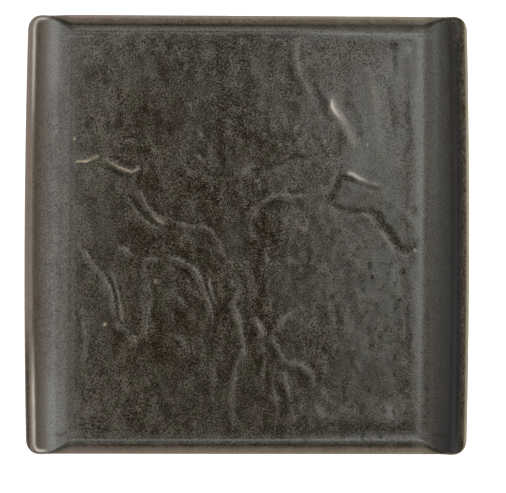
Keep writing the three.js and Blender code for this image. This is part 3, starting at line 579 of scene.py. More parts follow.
# Each noise field here and below is given by its grain, its stretch along Y and a seed
TRACED_X, TRACED_Y = 0.3 * MM, 0.7 * MM  # the creases lie this far left and nearer
STRAYS = ((0.35 * MM, 7 * MM), (0.6 * MM, 2.4 * MM))  # how far they stray, and over what length
STRAY_SEED_X, STRAY_SEED_Y = 11.3, 17.9
BREAKS = (8 * MM, 1.0, 2.2)  # they rise and sink along their course
BREAK_SHARE = 0.7
LOWEST, HIGHEST = 0.5, 1.35
WIDENING = (5 * MM, 1.0, 4.4)  # and widen and narrow
WIDEN_SHARE = 0.6
NARROWEST, WIDEST = 0.65, 1.5
ROUND_SHARE = 0.6  # of a round crest in a crease's section, the rest being sharp
END_SHARPNESS = 0.4  # how creases die out at their ends: lower is blunter
PATH_END = 0.001
DARK_REACH = 1.4  # over 1, the painted shade of a groove reaches up its flanks
DARKEST = 1.1  # limit of what a groove's rise adds to its darkness
LINE_LEAST, LINE_MORE = 0.5, 0.7  # width of a pale line at its ends, and what its middle adds
LINE_START, LINE_LOSS = 1.25, 0.95  # its strength where it starts, and what it has lost at its end
LINE_KEPT = 0.3  # what stays of it where its crease sinks


def crease_fields(x, y):
    """The creases over plan points: their height, how bare their crests are, with painted highlights on
    those at the right, and how dark their hollows are painted as shade.
    """
    high = np.zeros(x.shape)
    low = np.zeros(x.shape)
    bare = np.zeros(x.shape)
    dark = np.zeros(x.shape)
    broken = np.clip(1 + BREAK_SHARE * noise_field(x, y, *BREAKS), LOWEST, HIGHEST)
    wider = np.clip(1 + WIDEN_SHARE * noise_field(x, y, *WIDENING), NARROWEST, WIDEST)
    x = x + TRACED_X
    y = y + TRACED_Y
    for stray, size in STRAYS:
        x = x + stray * noise_field(x, y, size, seed=STRAY_SEED_X)
        y = y + stray * noise_field(x, y, size, seed=STRAY_SEED_Y)
    for crease in CREASES:
        path = smooth_path(crease.points)
        reach = WIDEST * max(crease.left, crease.right) * MM
        first = path.min(0) - reach
        last = path.max(0) + reach
        near = (x > first[0]) & (x < last[0]) & (y > first[1]) & (y < last[1])
        distance, along, on_left = nearest_on_path(path, x[near], y[near])
        spread = wider[near] * np.where(on_left, crease.left, crease.right) * MM
        flank = np.clip(1 - distance / spread, 0, 1)
        fade = np.sin(math.pi * np.clip(along, PATH_END, 1 - PATH_END)) ** END_SHARPNESS
        profile = (1 - ROUND_SHARE) * flank ** 2 + ROUND_SHARE * smooth(flank)
        height = crease.rise * MM * profile * fade * broken[near]
        high[near] = np.maximum(high[near], height)
        low[near] = np.minimum(low[near], height)
        # The painted shade that a crease holds
        settled = crease.dark * smooth(DARK_REACH * flank) * fade * np.minimum(broken[near], DARKEST)
        dark[near] = np.maximum(dark[near], settled)
        width = crease.line * MM * (LINE_LEAST + LINE_MORE * fade)
        line = crease.bare * bell(distance, 0, width) * fade * (LINE_START - LINE_LOSS * along)
        bare[near] = np.maximum(bare[near], line)
    for centre_x, centre_y, radius, share in HOLLOWS:
        dark = np.maximum(dark, share * blot(x, y, centre_x, centre_y, radius, radius))
    return high + low, np.clip(bare * np.minimum(broken + LINE_KEPT, 1), 0, 1), dark


SWELL_RISE = 0.25 * MM  # the floor's long, slow swell
SWELL_LENGTH = 74 * MM
SWELL_LEAN_X, SWELL_LEAN_Y = 0.4, 0.3
PLATE_RISE = 0.19 * MM  # plates of cleft stone
PLATES = (9 * MM, 1.3, 3.1)
LUMP_RISE = 0.17 * MM  # leathery lumps across a plate
LUMPS = (4.6 * MM, 1.15, 7.7)
ROUGHER_FROM = 20 * MM  # both stand out more towards the right, from this far left of the middle
ROUGHER_OVER = 100 * MM
ROUGHER_SHARE = 0.35
CALM_FROM_X, CALM_FROM_Y = 25 * MM, 5 * MM  # beyond these, at the upper right, the floor is smoother
CALM_OVER = 30 * MM
CALM_SHARE = 0.6
SPOTS = (3.6 * MM, 1.3, 14.2)  # dark spots of the floor's lower right
SPOT_FROM = 0.12  # level of that noise at which a spot starts
SPOT_DARK = 1.4
SPOT_LEFT, SPOT_LEFT_OVER = -10 * MM, 50 * MM  # where they begin, and over what length they grow
SPOT_FAR, SPOT_FAR_OVER = 50 * MM, 60 * MM
SPOT_RIGHT, SPOT_RIGHT_OVER = 96 * MM, 5 * MM
LIFT_REACH = 5  # grid lines over which a lump stands out from its surroundings
CREASE_LIFT = 0.1 * MM  # heights by which what stands out is painted fully lighter, and a crest's foot fully darker, as light and shade
LUMP_LIFT = 0.14 * MM
LUMP_SHARE = 0.8  # of the lift on a lump
FOOT_SHARE = 0.7  # and of the painted shade at the foot of a crest


def standing_out(height, full):
    """How far points of a grid stand above or below their surroundings, from -1 to 1 at the full height."""
    weights = np.hanning(2 * LIFT_REACH + 3)[1:-1]
    weights /= weights.sum()
    level = height
    for axis in (0, 1):
        level = np.apply_along_axis(np.convolve, axis, level, weights, mode="same")
    return np.clip((height - level) / full, -1, 1)


def dark_spots(x, y):
    """How dark the spots of the floor's lower right are, over plan points."""
    spots = (noise_field(x, y, *SPOTS) - SPOT_FROM) * smooth((SPOT_RIGHT - x) / SPOT_RIGHT_OVER)
    lower_right = smooth((x - SPOT_LEFT) / SPOT_LEFT_OVER) * smooth((SPOT_FAR - y) / SPOT_FAR_OVER)
    return SPOT_DARK * np.clip(spots, 0, 1) * lower_right


def relief_height(x, y):
    """Height of the floor's relief over a grid of plan points.

    With it come the bareness and painted shade of the creases, how far lumps and crests stand out, which is
    painted as light on them and shade at their feet, and how far crests alone stand out.
    """
    creases, bare, dark = crease_fields(x, y)
    phase = 2 * math.pi / SWELL_LENGTH
    swell = SWELL_RISE * np.sin(phase * (x + SWELL_LEAN_X * y)) * np.cos(phase * (y - SWELL_LEAN_Y * x))
    stone = PLATE_RISE * noise_field(x, y, *PLATES) + LUMP_RISE * noise_field(x, y, *LUMPS)
    rougher = 1 + ROUGHER_SHARE * smooth((x + ROUGHER_FROM) / ROUGHER_OVER)
    calm = smooth((x - CALM_FROM_X) / CALM_OVER) * smooth((y - CALM_FROM_Y) / CALM_OVER)
    lumps = rougher * (1 - CALM_SHARE * calm) * stone
    crests = standing_out(creases, CREASE_LIFT)
    lift = np.where(crests < 0, FOOT_SHARE, 1) * crests + LUMP_SHARE * standing_out(lumps, LUMP_LIFT)
    return creases + swell + lumps, bare, np.maximum(dark, dark_spots(x, y)), lift, np.maximum(crests, 0)


LOOP_STEPS = (60, 60, 8)


def rounded_loop(half_x, half_y, radius, steps=LOOP_STEPS):
    """Plan points round a rounded rectangle. steps are the points along X, along Y and round a corner."""
    radius = min(radius, half_x, half_y)
    span_x = half_x - radius
    span_y = half_y - radius
    turns = np.linspace(0, math.pi / 2, steps[2], endpoint=False)
    runs_x = np.linspace(span_x, -span_x, steps[0], endpoint=False)
    runs_y = np.linspace(-span_y, span_y, steps[1], endpoint=False)
    arc = radius * np.stack([np.cos(turns), np.sin(turns)], 1)
    half = np.vstack([
        np.stack([np.full(steps[1], half_x), runs_y], 1),
        arc + (span_x, span_y),
        np.stack([runs_x, np.full(steps[0], half_y)], 1),
        np.stack([-arc[:, 1], arc[:, 0]], 1) + (-span_x, span_y),
    ])
    return np.vstack([half, -half])


INNERMOST = 0.97  # share of the way in to the middle of the innermost loop, which a cap closes
LEAST_HALF = 0.1 * MM


def nested_loops(half_x, half_y, radius, count):
    """Loops from a rounded rectangle in towards its long middle line."""
    middle = max(half_y - half_x, 0)
    loops = []
    for t in np.linspace(0, INNERMOST, count):
        loops.append(rounded_loop(
            half_x * (1 - t), half_y + t * (middle - half_y) + LEAST_HALF, radius * (1 - t)))
    return loops


def level_loop(plan, height):
    """A loop of points at one height over plan points."""
    return np.column_stack([plan, np.full(len(plan), height)])


def loft(loops, closed=False):
    """Faces between loops of points that each have the same number of points."""
    count = len(loops[0])
    faces = []
    for row in range(len(loops) if closed else len(loops) - 1):
        here = row * count
        there = (row + 1) % len(loops) * count
        for i in range(count):
            j = (i + 1) % count
            faces.append((here + i, here + j, there + j, there + i))
    return faces


def end_caps(loops):
    """The faces that close a loft's first and last loop."""
    count = len(loops[0])
    last = count * (len(loops) - 1)
    return [list(range(count))[::-1], list(range(last, last + count))]


def new_piece(name, points, faces, material, attributes=None, sharp_angle=None):
    """A smooth mesh object from points and faces, with its material and named values on its points."""
    mesh = bpy.data.meshes.new(name)
    mesh.from_pydata(np.asarray(points).tolist(), [], faces)
    mesh.update()
    mesh.shade_smooth()
    if sharp_angle is not None:
        mesh.set_sharp_from_angle(angle=sharp_angle)
    for key, values in (attributes or {}).items():
        layer = mesh.attributes.new(key, "FLOAT", "POINT")
        layer.data.foreach_set("value", np.asarray(values, np.float32))
    mesh.materials.append(material)
    piece = bpy.data.objects.new(name, mesh)
    bpy.context.scene.collection.objects.link(piece)
    return piece


def ride_frame(piece, slot, *nodes):
    """Seats a piece on the platter's one body, in place of the frame's nodes."""
    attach(piece, BODY)
    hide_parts(*nodes)


def add_node(tree, kind, inputs=None, **settings):
    """Adds a node, sets its settings, and sets or links its inputs by name or number."""
    node = tree.nodes.new(kind)
    for key, value in settings.items():
        setattr(node, key, value)
    for key, value in (inputs or {}).items():
        if isinstance(value, bpy.types.NodeSocket):
            tree.links.new(value, node.inputs[key])
        else:
            node.inputs[key].default_value = value
    return node


def new_material(name):
    """A material with a Principled shader, its node tree and that shader."""
    material = bpy.data.materials.new(name)
    material.use_nodes = True
    tree = material.node_tree
    return material, tree, tree.nodes["Principled BSDF"]


MIX_A, MIX_B, MIX_RESULT = 6, 7, 2  # a Mix node's colour sockets
NUMBER_A, NUMBER_B = 2, 3  # and its number sockets
# Besides the glaze's thinning and its crests, these values carry painted sheen, highlights and shade
COAT_VALUES = ("thin", "bare", "pool_shade", "painted_sheen", "cloud_sheen", "shade_and_dull", "lift", "crest")  # on a coat's points
NEAR_SHADE_AT, CLEAR_AT = -90 * MM, 60 * MM  # along Y, between which the grey cloud turns from its painted shade at the near end to its full tone
LEFT_AT, RIGHT_AT = -100 * MM, 110 * MM  # along X, between which the tone of bare clay and of the pale crests changes, to a painted highlight at the right
RIM_FROM, RIM_AT = -104 * MM, -112 * MM  # along X, between which a pale crest takes the tone of the left rim's painted highlight
LIFT_DEPTH = 0.082  # what a full lift adds to the glaze's depth, painting light on what stands out and shade at its foot
SATIN_RANGE = 0.04  # by which the roughness varies
SKIN_DEPTH = 0.03 * MM  # of the fired skin's fine unevenness


def reactive_glaze(glaze):
    """Satin reactive stoneware glaze, poured and fired.

    It is an iron-brown glass full of fine dark specks and pale crystals, cloudy grey where it lies thick,
    brown where it runs thin at an edge, and gone from sharp crests. Painted into its colour are glints
    among the crystals, a grey sheen on the coves and the floor's right part, highlights on crests and at
    the right cove's foot, and shade in grooves, hollows, the lips' valleys and up the right cove.
    """
    name = "Reactive stoneware glaze"
    if name in bpy.data.materials:
        return bpy.data.materials[name]
    material, tree, shader = new_material(name)
    place = add_node(tree, "ShaderNodeTexCoord").outputs["Object"]
    plan = add_node(tree, "ShaderNodeSeparateXYZ", {"Vector": place}).outputs
    thin, bare, pool_shade, painted_sheen, cloud_sheen, shade_and_dull, lift, crest = (
        add_node(tree, "ShaderNodeAttribute", attribute_name=key).outputs["Fac"] for key in COAT_VALUES)

    # Fine specks, crystals and dots, fewer on a crest, which the glaze runs off. The pale crystals are
    # partly painted glints
    drawn_out = add_node(tree, "ShaderNodeMapping", {
        "Vector": place, "Scale": (1, 0.6, 1)}).outputs["Vector"]
    clouds = add_node(tree, "ShaderNodeTexNoise", {
        "Vector": drawn_out, "Scale": 1 / glaze.mottle_size, "Detail": 2, "Roughness": 0.5}).outputs["Fac"]
    grain = add_node(tree, "ShaderNodeTexNoise", {
        "Vector": place, "Scale": 1 / glaze.grain_size, "Detail": 1, "Roughness": 0.5}).outputs["Fac"]
    cells = add_node(tree, "ShaderNodeTexVoronoi", {
        "Vector": place, "Scale": 1 / glaze.cell_size}).outputs["Distance"]
    dots = add_node(tree, "ShaderNodeMapRange", {
        "Value": cells, "From Min": 0.15, "From Max": 0.75,
        "To Min": -0.06, "To Max": 0.06}).outputs["Result"]
    drift = add_node(tree, "ShaderNodeMapRange", {
        "Value": clouds, "From Min": 0.3, "From Max": 0.7,
        "To Min": -0.09, "To Max": 0.09}).outputs["Result"]
    dotted = add_node(tree, "ShaderNodeMath", {0: grain, 1: dots}, operation="ADD").outputs[0]
    drifted = add_node(tree, "ShaderNodeMath", {0: dotted, 1: drift}, operation="ADD").outputs[0]
    calmed = add_node(tree, "ShaderNodeMapRange", {
        "Value": crest, "From Min": 0.25, "To Max": 0.6}).outputs["Result"]
    even = add_node(tree, "ShaderNodeMix", {
        "Factor": calmed, NUMBER_A: drifted, NUMBER_B: 0.5}, data_type="FLOAT").outputs[0]
    # A lift paints light on what stands out of the relief and shade at its foot
    depth = add_node(tree, "ShaderNodeMath", {
        0: lift, 1: LIFT_DEPTH, 2: even}, operation="MULTIPLY_ADD").outputs[0]
    ramp = add_node(tree, "ShaderNodeValToRGB", {"Fac": depth})
    stops = ((0.39, glaze.speck), (0.46, glaze.ground), (0.55, glaze.film), (0.71, glaze.crystal_glint))
    for number, (spot, colour) in enumerate(stops):
        if number > 1:
            ramp.color_ramp.elements.new(spot)
        ramp.color_ramp.elements[number].position = spot
        ramp.color_ramp.elements[number].color = colour

    # Rusty and olive patches, which tint the darker parts more
    patches = add_node(tree, "ShaderNodeTexNoise", {
        "Vector": place, "Scale": 1 / glaze.patch_size, "Detail": 0.5}).outputs["Fac"]
    dark = add_node(tree, "ShaderNodeMapRange", {
        "Value": depth, "From Min": 0.66, "From Max": 0.42, "To Min": 0.55}).outputs["Result"]
    coat = ramp.outputs["Color"]
    for full_at, most, tint in ((0.62, 0.42, glaze.rust), (0.38, 0.8, glaze.olive)):
        patch = add_node(tree, "ShaderNodeMapRange", {
            "Value": patches, "From Min": 0.5, "From Max": full_at, "To Max": most}).outputs["Result"]
        share = add_node(tree, "ShaderNodeMath", {0: patch, 1: dark}, operation="MULTIPLY").outputs[0]
        coat = add_node(tree, "ShaderNodeMix", {"Factor": share, MIX_A: coat, MIX_B: tint},
                        data_type="RGBA", blend_type="COLOR").outputs[MIX_RESULT]

    # Tones that change across the platter: the grey cloud's painted shade towards the near end, the clay's
    # tone, and the pale crests, from straw at the left to a painted highlight at the right and on the left
    # rim
    farther = add_node(tree, "ShaderNodeMapRange", {
        "Value": plan["Y"], "From Min": NEAR_SHADE_AT, "From Max": CLEAR_AT}).outputs["Result"]
    rightward = add_node(tree, "ShaderNodeMapRange", {
        "Value": plan["X"], "From Min": LEFT_AT, "From Max": RIGHT_AT}).outputs["Result"]
    rimward = add_node(tree, "ShaderNodeMapRange", {
        "Value": plan["X"], "From Min": RIM_FROM, "From Max": RIM_AT}).outputs["Result"]
    cloud_tone = add_node(tree, "ShaderNodeMix", {
        "Factor": farther, MIX_A: glaze.near_shade, MIX_B: glaze.cloud_sheen}, data_type="RGBA").outputs[MIX_RESULT]
    clay_tone = add_node(tree, "ShaderNodeMix", {
        "Factor": rightward, MIX_A: glaze.buff, MIX_B: glaze.cream}, data_type="RGBA").outputs[MIX_RESULT]
    crest_tone = add_node(tree, "ShaderNodeMix", {
        "Factor": rightward, MIX_A: glaze.straw, MIX_B: glaze.bare}, data_type="RGBA").outputs[MIX_RESULT]
    rim_tone = add_node(tree, "ShaderNodeMix", {
        "Factor": rimward, MIX_A: crest_tone, MIX_B: glaze.bare}, data_type="RGBA").outputs[MIX_RESULT]

    # What lies over the speckled ground, from the bottom up. Among it are the painted sheen of the grey
    # cloud and the coves, the painted highlight at the right cove's foot, painted shade up the right cove
    # and in grooves and hollows, and the painted highlight of pale crests
    # The share of the grey cloud and its painted sheen
    cloud_sheen_share = add_node(tree, "ShaderNodeMapRange", {"Value": cloud_sheen, "To Max": 0.75}).outputs["Result"]
    # The share of the coves' painted sheen
    settled = add_node(tree, "ShaderNodeMapRange", {"Value": painted_sheen, "To Max": 0.6}).outputs["Result"]
    # The painted highlight at the right cove's foot
    highlight_line = add_node(tree, "ShaderNodeMapRange", {
        "Value": painted_sheen, "From Min": 0.7, "From Max": 1.7}).outputs["Result"]
    ragged = add_node(tree, "ShaderNodeMapRange", {
        "Value": grain, "From Min": 0.35, "From Max": 0.65,
        "To Min": -0.25, "To Max": 0.25}).outputs["Result"]
    worn = add_node(tree, "ShaderNodeMath", {0: thin, 1: ragged}, operation="ADD").outputs[0]
    browned = add_node(tree, "ShaderNodeMapRange", {
        "Value": worn, "From Min": 0.1, "From Max": 0.5}).outputs["Result"]
    pits = add_node(tree, "ShaderNodeMapRange", {
        "Value": dotted, "From Min": 0.47, "From Max": 0.39, "To Max": 0.75}).outputs["Result"]
    edged = add_node(tree, "ShaderNodeMapRange", {"Value": thin, "From Min": 0.5}).outputs["Result"]
    uneven = add_node(tree, "ShaderNodeMapRange", {
        "Value": dotted, "From Min": 0.38, "From Max": 0.62,
        "To Min": 1.6, "To Max": 0.4}).outputs["Result"]
    # The share of painted shade and dull patches
    dull_shade_share = add_node(tree, "ShaderNodeMath", {
        0: shade_and_dull, 1: uneven}, operation="MULTIPLY", use_clamp=True).outputs[0]
    layers = (
        (cloud_sheen_share, cloud_tone), (settled, glaze.cove), (highlight_line, glaze.milk_highlight), (browned, glaze.iron),
        (pits, glaze.speck), (edged, clay_tone), (pool_shade, glaze.cove_shade), (dull_shade_share, glaze.dull_shade),
        (bare, rim_tone))
    for share, tone in layers:
        coat = add_node(tree, "ShaderNodeMix", {
            "Factor": share, MIX_A: coat, MIX_B: tone}, data_type="RGBA").outputs[MIX_RESULT]
    tree.links.new(coat, shader.inputs["Base Color"])

    # Satin, and more matt where it is thin, in painted shade and dull patches, and where it is cloudy
    roughness = add_node(tree, "ShaderNodeMapRange", {
        "Value": clouds, "To Min": glaze.roughness - SATIN_RANGE,
        "To Max": glaze.roughness + SATIN_RANGE}).outputs["Result"]
    matt = add_node(tree, "ShaderNodeMapRange", {
        "Value": thin, "From Max": 0.5, "To Max": 0.22}).outputs["Result"]
    for share, more in ((matt, 1), (shade_and_dull, 0.3), (cloud_sheen, 0.1)):
        roughness = add_node(tree, "ShaderNodeMath", {
            0: share, 1: more, 2: roughness}, operation="MULTIPLY_ADD").outputs[0]
    tree.links.new(roughness, shader.inputs["Roughness"])

    # Crystals gleam more than specks do, and each layer has its own gleam
    gleam = add_node(tree, "ShaderNodeMapRange", {
        "Value": depth, "From Min": 0.36, "From Max": 0.66,
        "To Min": 0.06, "To Max": 0.47}).outputs["Result"]
    for share, level in ((cloud_sheen, 0.26), (painted_sheen, 0.5), (pool_shade, 0.38), (dull_shade_share, 0.06)):
        gleam = add_node(tree, "ShaderNodeMix", {
            "Factor": share, NUMBER_A: gleam, NUMBER_B: level}, data_type="FLOAT").outputs[0]
    tree.links.new(gleam, shader.inputs["Specular IOR Level"])
    skin = add_node(tree, "ShaderNodeBump", {"Height": grain, "Distance": SKIN_DEPTH, "Strength": 1.0})
    tree.links.new(skin.outputs["Normal"], shader.inputs["Normal"])
    shader.inputs["IOR"].default_value = 1.5
    return material


SAND_SIZE = 0.8 * MM
FLECK_SPACING = 3 * MM
TOOTH_DEPTH = 0.05 * MM  # of the ground clay's grain


def fired_clay(glaze):
    """Bare stoneware clay, fired and ground flat: matt, warm, with sand grains and a few iron flecks."""
    material, tree, shader = new_material("Bare fired stoneware clay")
    place = add_node(tree, "ShaderNodeTexCoord").outputs["Object"]
    grain = add_node(tree, "ShaderNodeTexNoise", {
        "Vector": place, "Scale": 1 / SAND_SIZE, "Detail": 3, "Roughness": 0.7}).outputs["Fac"]
    tone = add_node(tree, "ShaderNodeMapRange", {
        "Value": grain, "From Min": 0.3, "From Max": 0.7}).outputs["Result"]
    sanded = add_node(tree, "ShaderNodeMix", {
        "Factor": tone, MIX_A: glaze.sand, MIX_B: glaze.clay}, data_type="RGBA").outputs[MIX_RESULT]
    cells = add_node(tree, "ShaderNodeTexVoronoi", {
        "Vector": place, "Scale": 1 / FLECK_SPACING}).outputs["Distance"]
    flecks = add_node(tree, "ShaderNodeMapRange", {
        "Value": cells, "From Min": 0.16, "From Max": 0.1, "To Max": 0.7}).outputs["Result"]
    flecked = add_node(tree, "ShaderNodeMix", {
        "Factor": flecks, MIX_A: sanded, MIX_B: glaze.fleck}, data_type="RGBA").outputs[MIX_RESULT]
    tree.links.new(flecked, shader.inputs["Base Color"])
    tooth = add_node(tree, "ShaderNodeBump", {"Height": grain, "Distance": TOOTH_DEPTH, "Strength": 1.0})
    tree.links.new(tooth.outputs["Normal"], shader.inputs["Normal"])
    shader.inputs["Roughness"].default_value = 0.85
    return material


def by_inset(table, inset):
    """A value that a table gives by a distance in millimetres."""
    steps, values = zip(*table)
    return np.interp(inset / MM, steps, values)


# How thin the glaze has run, by distance in from the outline in millimetres: 1 shows the clay, 0.5 is iron
# brown and 0 is full glaze. It was poured from the left, so it is thin far into that cove.
THIN_LEFT = ((0, 1), (1.5, 0.78), (3.2, 0.72), (4.4, 0.55), (6, 0.5), (10, 0.42), (13.5, 0))
THIN_RIGHT = ((0, 1), (1.3, 1), (2.3, 0.36), (3.6, 0.28), (5, 0))
THIN_FAR = ((0, 1), (1.2, 0.86), (2.4, 0.62), (4.8, 0.5), (5.6, 0))
THIN_NEAR = ((0, 1), (1, 0.95), (1.8, 0.73), (4, 0.61), (5, 0.42), (5.6, 0))
RUNS = (9 * MM, 2.5, 1.3)  # long runs of the left cove's brown, and their ragged edge
RUN_EDGES = (2.2 * MM, 1.5, 5.9)
RUN_EDGE_SHARE = 0.6
RAGGED_SHARE = 0.12
DARK_RIM_FROM = 40 * MM  # the left rim's edge is darker towards the near end
DARK_RIM_OVER = 45 * MM
DARK_RIM_SHARE = 0.42
DARK_RIM_REACH, DARK_RIM_FADE = 3 * MM, 1.5 * MM
EDGE_REACH = 1.6 * MM  # of the thinnest glaze round the outline's corners
EDGE_FADE = 0.75  # share of that reach
EDGE_THIN = 0.9


def thin_glaze(section, x, y):
    """How thin the glaze has run over plan points."""
    ragged = noise_field(x, y, *RUNS) + RUN_EDGE_SHARE * noise_field(x, y, *RUN_EDGES)
    side_inset = section.half_x - np.abs(x)
    end_inset = section.half_y - np.abs(y) + section.narrowing(x, y)
    dark_rim = smooth((-y - DARK_RIM_FROM) / DARK_RIM_OVER)
    dark_rim = dark_rim * smooth((DARK_RIM_REACH - side_inset) / DARK_RIM_FADE)
    left = by_inset(THIN_LEFT, side_inset * (1 + RAGGED_SHARE * ragged)) - DARK_RIM_SHARE * dark_rim
    side = np.where(x < 0, left, by_inset(THIN_RIGHT, side_inset))
    end = np.where(y < 0, by_inset(THIN_NEAR, end_inset), by_inset(THIN_FAR, end_inset))
    edge = EDGE_THIN * smooth((EDGE_REACH - section.edge_inset(x, y)) / (EDGE_FADE * EDGE_REACH))
    return np.maximum(np.maximum(side, end), edge)


# A painted highlight along the left rim's crest, drawn as pale clay
CREST_INSET = 4.2 * MM  # of the left rim's crest, from the outline
CREST_DRIFT = 0.5 * MM  # and how much more at the near end
CREST_WIDTH = 0.68 * MM
CREST_END = 2.2 * MM  # its inset once it has turned along an end
CREST_TURN = 5 * MM
CREST_REACH, CREST_FADE = 12 * MM, 4 * MM  # it ends this far in from the outline's left
CREST_FROM = 48 * MM  # its painted highlight is stronger towards its two ends
CREST_OVER = 50 * MM
CREST_GRAIN = (1.4 * MM, 1.6, 4.4)
CREST_UNEVEN = 0.35
CREST_HIGHLIGHT, CREST_NEAR_MORE = 0.58, 0.08  # how strong its painted highlight is, and how much more at the near end


def rim_highlight(section, x, y):
    """How strong the painted highlight on the crest of the left rim is, over plan points."""
    along = CREST_INSET - CREST_DRIFT * y / section.half_y
    turn = smooth((section.half_y - np.abs(y) - section.half_x - x + CREST_TURN) / (2 * CREST_TURN))
    crest = bell(section.edge_inset(x, y), CREST_END + (along - CREST_END) * turn, CREST_WIDTH)
    towards_end = smooth((np.abs(y) - CREST_FROM) / CREST_OVER)
    beside_rim = smooth((CREST_REACH - section.half_x - x) / CREST_FADE)
    uneven = 1 + CREST_UNEVEN * noise_field(x, y, *CREST_GRAIN)
    return (CREST_HIGHLIGHT - CREST_NEAR_MORE * np.sign(y)) * uneven * crest * towards_end * beside_rim


DULL_PATCHES = (  # plan point, width, length and how dull, in millimetres
    (-22, 90, 46, 32, 0.42), (-21, -90, 24, 28, 0.42), (-31, 108.5, 26, 4, 0.62), (16, 107, 9, 3.5, 0.6),
    (-74, 105, 7, 6, 0.32), (-50, -86, 14, 15, 0.38), (-36, 45, 8, 7, 0.42), (-20, 42, 4, 7, 0.45),
    (8, 97, 4, 8, 0.5), (-27, -109, 13, 5, 0.45), (-22, -70, 7, 11, 0.36), (22, -109, 10, 6, 0.4),
    (92, 33, 5, 16, 0.3), (93, -82, 5, 16, 0.32), (-55, -97, 34, 16, 0.24), (64, 110, 26, 8, 0.3),
)
DULL_LINE = -109.3 * MM  # and a dull line along the near end, duller towards the right
DULL_LINE_WIDTH = 3.6 * MM
DULL_LINE_LEFT, DULL_LINE_MORE = 0.25, 0.6
DULL_LINE_FROM, DULL_LINE_OVER = 25 * MM, 35 * MM


def dull_patch(x, y):
    """How much darker and more matt a few patches and a line along the near end are made, over plan points.
    """
    duller = DULL_LINE_LEFT + DULL_LINE_MORE * smooth((x - DULL_LINE_FROM) / DULL_LINE_OVER)
    dull = duller * bell(y, DULL_LINE, DULL_LINE_WIDTH)
    for *oval, share in DULL_PATCHES:
        dull = np.maximum(dull, share * blot(x, y, *oval))
    return dull


# Painted sheen on the floor's left part beside the left cove
PALE_LEFT = ((-50, 0), (-22, 0.45), (-6, 0.8), (0, 0.3), (2, 0))  # by distance beyond the left cove's foot
PALE_FROM, PALE_OVER = 20 * MM, 60 * MM  # the painted sheen is stronger towards the near end
PALE_NEAR_MORE = 0.5


def left_floor_sheen(section, x, y):
    """How much painted sheen lightens the floor's left part, over plan points."""
    nearer = 1 + PALE_NEAR_MORE * smooth((-y - PALE_FROM) / PALE_OVER)
    return by_inset(PALE_LEFT, -section.floor_x - x) * nearer


# The grey painted sheen by the coves, by distance up a cove in millimetres, negative on the floor
SHEEN_LEFT = ((-32, 0), (-14, 0.12), (-4, 0.34), (1, 0.9), (4, 0.78), (8, 0.6), (13, 0.5), (26, 0.4))
SHEEN_RIGHT = ((-9, 0), (-4, 0.35), (0, 0.75), (4, 0.75), (7, 0.74), (10, 0.9), (26, 0.8))
PALE_END_FROM, PALE_END_OVER = 45 * MM, 60 * MM  # the left cove's painted sheen is stronger towards its two ends
PALE_END_CLIMB, PALE_END_WIDTH = 13 * MM, 7.5 * MM
PALE_END_SHARE = 0.5
CLEAR_FROM, CLEAR_OVER = 55 * MM, 35 * MM  # and weaker low down towards the far end
CLEAR_CLIMB, CLEAR_WIDTH = 5 * MM, 4 * MM
CLEAR_SHARE = 0.3
FAR_CLIMB, FAR_LENGTH = 5 * MM, 100 * MM  # the right cove's painted sheen is stronger towards the far end, from this far up
FAR_SHARE = 0.55
MIDDLE_AT, MIDDLE_WIDTH = 20 * MM, 60 * MM  # and about its middle
MIDDLE_SHARE = 0.15


def left_cove_sheen(climb, y):
    """Painted sheen of the left cove and the floor beside it."""
    pale_end = bell(climb, PALE_END_CLIMB, PALE_END_WIDTH)
    pale_end = pale_end * smooth((np.abs(y) - PALE_END_FROM) / PALE_END_OVER)
    clear = smooth((y - CLEAR_FROM) / CLEAR_OVER) * bell(climb, CLEAR_CLIMB, CLEAR_WIDTH)
    return (by_inset(SHEEN_LEFT, climb) + PALE_END_SHARE * pale_end) * (1 - CLEAR_SHARE * clear)


def right_cove_sheen(climb, y):
    """Painted sheen of the right cove and the floor beside it."""
    far_more = FAR_SHARE * y / FAR_LENGTH * smooth((climb - FAR_CLIMB) / FAR_CLIMB)
    return by_inset(SHEEN_RIGHT, climb) * (1 + far_more + MIDDLE_SHARE * bell(y, MIDDLE_AT, MIDDLE_WIDTH))


FILLET_AT = 117.3 * MM  # painted highlight along the end lips' fillets, out from the middle
FILLET_WIDTH = 2.4 * MM
FILLET_SLANT = 1.9 * MM  # it comes in by this much towards the right, and more at the far end
FAR_SLANT = 1.4
SLANT_FROM, SLANT_OVER = 20 * MM, 60 * MM
SLANT_WIDER = 0.25
FILLET_LEFT, FILLET_RIGHT_MORE, FILLET_FAR_MORE = 0.75, 0.25, 0.3


def fillet_highlight(x, y):
    """Painted highlight along the end lips' fillets."""
    slant = smooth((x - SLANT_FROM) / SLANT_OVER)
    slide = FILLET_SLANT * slant * np.where(y > 0, FAR_SLANT, 1)
    line = bell(np.abs(y) + slide, FILLET_AT, FILLET_WIDTH * (1 + SLANT_WIDER * slant))
    return line * (FILLET_LEFT + FILLET_RIGHT_MORE * slant + FILLET_FAR_MORE * (1 - slant) * (y > 0))


